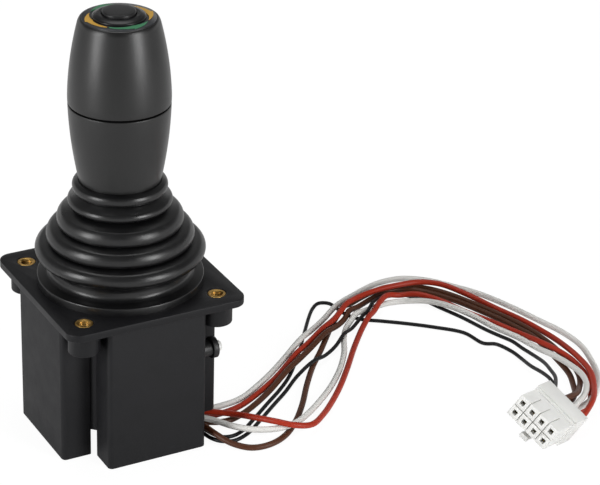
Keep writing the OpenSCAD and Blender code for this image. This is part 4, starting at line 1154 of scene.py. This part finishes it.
@dataclass
class Mechanism(SubAssembly):
    """Gimbal, bail, sensors, springs and lever inside the housing."""

    def build(self) -> list[Piece]:
        """Dresses the pieces of the mechanism."""
        finishes: dict[Finish, tuple[str, ...]] = {
            ALUMINIUM: ("restrictor_plate", "gimbal_ring", "grip_nut"),
            PLATED_STEEL: ("restrictor_screws", "slotted_bail", "right_centring_arm",
                           "rear_centring_arm", "retaining_ring"),
            BRONZE: ("gimbal_bearings", "bail_bearings", "twist_bush"),
            SENSOR_PLASTIC: ("left_tilt_sensor", "front_tilt_sensor"),
            SPRING_STEEL: ("right_centring_spring", "rear_centring_spring", "twist_spring"),
            GROUND_STEEL: ("gimbal_pins", "bail_pins", "lever_shaft", "lever_pivot_pin"),
            WHITE_NYLON: ("pivot_washers",),
            BOARD: ("circuit_board", "twist_sensor"),
            FERRITE: ("twist_magnet",),
            CARRIER_PLASTIC: ("twist_carrier",),
            SWITCH_PLASTIC: ("switch_body",),
        }
        return [dress(node, finish) for finish, nodes in finishes.items() for node in nodes]


# ------------------------------------------------------------------ grip and button


@dataclass
class Grip(SubAssembly):
    """Lower grip on the lever and twist grip above the seam, in one bellied outline.

    Attributes:
        belly_rise: height of the widest place above the seam.
        belly_radius: radius there.
        above: slope and bend of the outline above the belly.
        below: slope and bend of the outline below it.
        seam_gap: gap at the seam.
        seam_round: radius of the edges at the seam.
        wall: wall of the twist grip.
        pocket_radius: radius of the pocket in the lower grip.
        lever_radius: radius of the lever's bore in it.
        pocket_rise: height of the pocket's floor above the lower end.
        disc_radius: radius of the recess for the direction disc.
        sleeve_radius: radius of the bore for the bezel.
        deck: thickness of the deck under the disc.
        shoulder: height of the rounded shoulder at the top.
        shoulder_round: radius where the side turns into the shoulder.
        shoulder_step: how far its upper edge lies inside the outline and below the top.
        rim: width of the rim round the disc's recess.
        rows: number of points along each outline.
    """

    belly_rise: float = 2.7
    belly_radius: float = 15.9
    above: tuple[float, float] = (0.03, 0.0047)
    below: tuple[float, float] = (-0.01, 0.0036)
    seam_gap: float = 0.5
    seam_round: float = 0.3
    wall: float = 2.4
    pocket_radius: float = 12.5
    lever_radius: float = 4.02
    pocket_rise: float = 13.0
    disc_radius: float = 11.5
    sleeve_radius: float = 7.02
    deck: float = 2.3
    shoulder: float = 1
    shoulder_round: float = 0.6
    shoulder_step: tuple[float, float] = (0.4, 0.35)
    rim: float = 0.35
    rows: int = 30

    def __post_init__(self) -> None:
        """Takes the heights from the frame."""
        self.foot = low("lower_grip")
        self.seam = high("lower_grip")
        self.top = high("upper_grip")
        self.disc_floor = low("direction_disc")

    def radius(self, z: float) -> float:
        """Gives the grip's radius: widest at the belly, slimmer to both ends.

        Args:
            z: the height in millimetres.

        Returns:
            The radius there.
        """
        rise = z - self.seam - self.belly_rise
        slope, curve = self.above if rise > 0 else self.below
        return self.belly_radius - slope * rise - curve * rise ** 2

    def outline(self, start: float, end: float, inset: float = 0.0) -> list[ProfilePoint]:
        """Returns the grip's outline from one height to another."""
        heights = [start + (end - start) * i / self.rows for i in range(self.rows + 1)]
        return [(self.radius(z) - inset, z, 0.0) for z in heights]

    def lower(self) -> Piece:
        """Turns the lower grip with its pocket.

        Returns:
            The lower grip.
        """
        side = self.outline(self.foot, self.seam)
        side[-1] = (*side[-1][:2], self.seam_round)
        floor = self.foot + self.pocket_rise
        return turned("lower_grip_moulding", "lower_grip",
                      [(self.lever_radius, self.foot, 0.0), *side,
                       (self.pocket_radius, self.seam, 0.0), (self.pocket_radius, floor, 0.0),
                       (self.lever_radius, floor, 0.0)], GRIP_PLASTIC, Body.LEVER)

    def upper(self) -> Piece:
        """Turns the twist grip: an open shell with a deck for the disc and the bezel.

        Returns:
            The twist grip.
        """
        start, end = self.seam + self.seam_gap, self.top - self.shoulder
        deck = self.disc_floor - self.deck
        side = self.outline(start, end)
        side[0] = (*side[0][:2], self.seam_round)
        side[-1] = (*side[-1][:2], self.shoulder_round)
        inset, drop = self.shoulder_step
        recess = [(self.radius(end) - inset, self.top - drop, 0.5),
                  (self.disc_radius + self.rim, self.top, 0.3), (self.disc_radius, self.top, 0.0),
                  (self.disc_radius, self.disc_floor, 0.0),
                  (self.sleeve_radius, self.disc_floor, 0.0), (self.sleeve_radius, deck, 0.0)]
        return turned("twist_grip_moulding", "upper_grip",
                      side + recess + self.outline(deck, start, self.wall), GRIP_PLASTIC,
                      Body.TWIST_GRIP)

    def build(self) -> list[Piece]:
        """Turns both grips and dresses the ring in the seam."""
        return [self.lower(), self.upper(), dress("seam_ring", SEAM_PLASTIC_PAINTED_SHADE)]


@dataclass
class PushButton(SubAssembly):
    """Direction disc, bezel and push button at the top of the twist grip.

    Attributes:
        bore: radius of the bezel's bore.
        sleeve: radius of its sleeve in the grip.
        flange: radius of its flange on the disc.
        flange_height: height of that flange's rim.
        cone_foot: how far the cone's foot lies inside the rim and above the disc.
        cone: radius of its cone's upper end.
        cap: radius of the button.
        head: thickness of the button's head above the hollow.
        hollow: radius of that hollow.
        collar: width of the collar that holds the button in.
        collar_height: height of that collar.
        collar_gap: gap between the collar and the bezel.
        stem: radius of the button's stem.
        dome: how far the button's face is domed.
        domed: share of the button's radius that the dome takes.
        disc_edge: radius of the disc's edges.
    """

    bore: float = 5.45
    sleeve: float = 7.0
    flange: float = 8.2
    flange_height: float = 0.6
    cone_foot: tuple[float, float] = (0.5, 0.95)
    cone: float = 6.6
    cap: float = 5.2
    head: float = 3.4
    hollow: float = 3.7
    collar: float = 1.0
    collar_height: float = 0.8
    collar_gap: float = 0.3
    stem: float = 1.5
    dome: float = 0.05
    domed: float = 0.8
    disc_edge: float = 0.15

    def bezel(self) -> Piece:
        """Turns the bezel: a sleeve, a flat flange and a cone up to the button.

        Returns:
            The bezel.
        """
        foot, disc, top = low("button_bezel"), high("direction_disc"), high("button_bezel")
        inset, rise = self.cone_foot
        return turned("bezel_ring", "button_bezel",
                      [(self.bore, foot, 0.0), (self.sleeve, foot, 0.0), (self.sleeve, disc, 0.0),
                       (self.flange, disc, 0.0), (self.flange, disc + self.flange_height, 0.18),
                       (self.flange - inset, disc + rise, 0.3), (self.cone, top, 0.25),
                       (self.bore, top, 0.12)], BEZEL_PLASTIC, Body.TWIST_GRIP)

    def button(self) -> Piece:
        """Turns the push button with its collar and its stem.

        Returns:
            The button.
        """
        foot, top = low("push_button_cap"), high("push_button_cap")
        edge = top - self.dome
        bottom, lip = edge - self.head, low("button_bezel") - self.collar_gap
        under, rim = lip - self.collar_height, self.cap + self.collar
        face = [(self.cap * k, top - self.dome * (k / self.domed) ** 2, 0.0)
                for k in (0.16, 0.32, 0.48, 0.64)]
        return turned("button_moulding", "push_button_cap",
                      [(0.0, foot, 0.0), (self.stem, foot, 0.0), (self.stem, bottom, 0.0),
                       (self.hollow, bottom, 0.0), (self.hollow, under, 0.0), (rim, under, 0.0),
                       (rim, lip, 0.0), (self.cap, lip, 0.0), (self.cap, edge, 0.45),
                       *reversed(face), (0.0, top, 0.0)],
                      BUTTON_PLASTIC, Body.BUTTON, closed=False)

    def spring(self) -> Piece:
        """Copies the coil under the button and bakes its placement into its mesh.

        Returns:
            The coil.
        """
        bm = bmesh.new()
        bm.from_mesh(NODES["button_spring"].data)
        obj = finished(as_object(bm, "button_coil"), "button_spring", SPRING_STEEL, None)
        bend(obj)
        return obj

    def build(self) -> list[Piece]:
        """Turns the bezel and the button, copies the spring and dresses the disc and arrows."""
        disc = softened("direction_disc", "direction_label", self.disc_edge, DISC_LABEL,
                        Body.TWIST_GRIP, segments=2)
        return [self.bezel(), self.button(), disc, self.spring(),
                dress("yellow_arrows", YELLOW_INK), dress("green_arrows", GREEN_INK)]


# ------------------------------------------------------------------ studio


@dataclass(frozen=True)
class SoftBox:
    """An area lamp that looks at the middle of the joystick.

    Attributes:
        name: the lamp's name.
        azimuth: degrees round the object, 0 in front.
        elevation: degrees above the horizon.
        distance: metres from the middle of the joystick.
        width: metres.
        height: metres.
        power: watts.
    """

    name: str
    azimuth: float
    elevation: float
    distance: float
    width: float
    height: float
    power: float


@dataclass
class Studio:
    """Camera, white floor, ambient light and soft boxes.

    Attributes:
        aim: the point that the camera looks at, in metres.
        azimuth: the camera's angle round the object.
        elevation: its angle above the horizon.
        roll: its roll, in degrees.
        distance: its distance from the aim, in metres.
        lens: focal length in millimetres.
        film_width: width of the camera's sensor in millimetres.
        middle: the point that the lamps look at.
        ambient: strength of the world's light on the object.
        wall_top: height angle of the room's white wall, in degrees.
        glow: how much of the floor's white doesn't depend on the lamps.
        glow_strength: strength of that white.
        floor_share: how much of it glossy surfaces see; the rest is the lit floor itself.
        floor_size: side of the floor in metres.
        boxes: the lamps.
    """

    aim: Vector = field(default_factory=lambda: Vector((0.0490, -0.0272, 0.0653)))
    azimuth: float = -29.02
    elevation: float = 26.88
    roll: float = 1.75
    distance: float = 0.78
    lens: float = 150.07
    film_width: float = 36
    middle: Vector = field(default_factory=lambda: Vector((0.02, 0.0, 0.07)))
    ambient: float = 0.2
    wall_top: float = 18
    glow: float = 0.88
    glow_strength: float = 1.06
    floor_share: float = 0.3
    floor_size: float = 6.0
    boxes: tuple[SoftBox, ...] = (
        SoftBox("left_soft_box", -82, 16, 0.9, 0.28, 0.6, 5.5),
        SoftBox("right_soft_box", 24, 16, 0.9, 0.28, 0.6, 5.5),
        SoftBox("top_soft_box", 160, 75, 1.2, 0.7, 0.7, 5.0),
    )

    def camera(self) -> None:
        """Sets up the camera, without shift and without depth of field."""
        data = bpy.data.cameras.new("studio_camera")
        data.sensor_width = self.film_width
        data.lens = self.lens
        back = polar(self.azimuth, self.elevation)
        turn = (-back).to_track_quat("-Z", "Y").to_matrix()
        turn = turn @ Matrix.Rotation(math.radians(self.roll), 3, "Z")
        camera = bpy.data.objects.new("studio_camera", data)
        camera.matrix_world = Matrix.Translation(self.aim + back * self.distance) @ turn.to_4x4()
        bpy.context.scene.collection.objects.link(camera)
        bpy.context.scene.camera = camera

    def lamps(self) -> None:
        """Hangs the soft boxes."""
        for box in self.boxes:
            data = bpy.data.lights.new(box.name, "AREA")
            data.shape = "RECTANGLE"
            data.size, data.size_y = box.width, box.height
            data.energy = box.power
            back = polar(box.azimuth, box.elevation)
            lamp = bpy.data.objects.new(box.name, data)
            lamp.matrix_world = (Matrix.Translation(self.middle + back * box.distance)
                                 @ (-back).to_track_quat("-Z", "Y").to_matrix().to_4x4())
            bpy.context.scene.collection.objects.link(lamp)

    def background_ray(self, tree: Tree, share: Socket | float) -> Socket:
        """Works out how much of the white background a ray sees.

        Args:
            tree: the node tree of the background's material or of the world.
            share: what glossy and transmission rays see of it; camera rays see all of it.

        Returns:
            The output with that share, from 0 to 1.
        """
        rays = add_node(tree, "ShaderNodeLightPath").outputs
        mirrored = add_node(tree, "ShaderNodeMath",
                            {0: rays["Is Glossy Ray"], 1: rays["Is Transmission Ray"]},
                            operation="MAXIMUM")
        shown = add_node(tree, "ShaderNodeMath", {0: mirrored.outputs[0], 1: share},
                         operation="MULTIPLY")
        seen = add_node(tree, "ShaderNodeMath", {0: rays["Is Camera Ray"], 1: shown.outputs[0]},
                        operation="MAXIMUM")
        return seen.outputs[0]

    def world(self) -> None:
        """Makes a white room with a dim ceiling.

        The camera sees white all round. Glossy surfaces see the white wall up to its top, and the
        dim ceiling above it, so that black plastic and rubber stay black between the highlights.
        """
        world = bpy.data.worlds.new("white_room")
        world.use_nodes = True
        tree = world.node_tree
        direction = add_node(tree, "ShaderNodeSeparateXYZ",
                             {0: add_node(tree, "ShaderNodeTexCoord").outputs["Generated"]})
        top = math.sin(math.radians(self.wall_top))
        wall = add_node(tree, "ShaderNodeMapRange",
                        {"Value": direction.outputs["Z"], "From Min": top / 2, "From Max": top,
                         "To Min": 1.0, "To Max": 0.0})
        strength = add_node(tree, "ShaderNodeMapRange",
                            {"Value": self.background_ray(tree, wall.outputs["Result"]),
                             "To Min": self.ambient, "To Max": 1.0})
        background = tree.nodes["Background"]
        background.inputs["Color"].default_value = linear("#ffffff")
        tree.links.new(strength.outputs["Result"], background.inputs["Strength"])
        bpy.context.scene.world = world

    def floor(self) -> None:
        """Lays a white floor that keeps the object's shadow."""
        bm = bmesh.new()
        bmesh.ops.create_grid(bm, x_segments=1, y_segments=1, size=self.floor_size / 2)
        obj = as_object(bm, "studio_floor")
        material = bpy.data.materials.new("white_floor")
        material.use_nodes = True
        tree = material.node_tree
        tree.nodes.remove(tree.nodes["Principled BSDF"])
        paint = add_node(tree, "ShaderNodeBsdfDiffuse", {"Color": linear("#f4f4f4")})
        glow = add_node(tree, "ShaderNodeEmission",
                        {"Color": linear("#ffffff"), "Strength": self.glow_strength})
        share = add_node(tree, "ShaderNodeMath",
                         {0: self.background_ray(tree, self.floor_share), 1: self.glow},
                         operation="MULTIPLY")
        lit = add_node(tree, "ShaderNodeMixShader",
                       {0: share.outputs[0], 1: paint.outputs[0], 2: glow.outputs[0]})
        tree.links.new(lit.outputs[0], tree.nodes["Material Output"].inputs["Surface"])
        obj.data.materials.append(material)

    def build(self) -> None:
        """Sets up the camera, the world, the floor and the lamps."""
        self.camera()
        self.world()
        self.floor()
        self.lamps()
        scene = bpy.context.scene
        scene.view_settings.view_transform = "Standard"


def main() -> None:
    """Builds the studio and the sub-assemblies in order."""
    logging.basicConfig(level=logging.INFO, format="%(name)s: %(message)s")
    Studio().build()
    connector = Connector()
    plug_pieces = connector.build()
    parts: tuple[SubAssembly, ...] = (WireHarness(connector, plug_pieces), Housing(), Bellows(),
                                      Mechanism(), Grip(), PushButton())
    for piece in plug_pieces + [piece for part in parts for piece in part.build()]:
        LOG.info("%s: %s", piece.name, piece.material_slots[0].material.name)


if __name__ == "__main__":
    main()
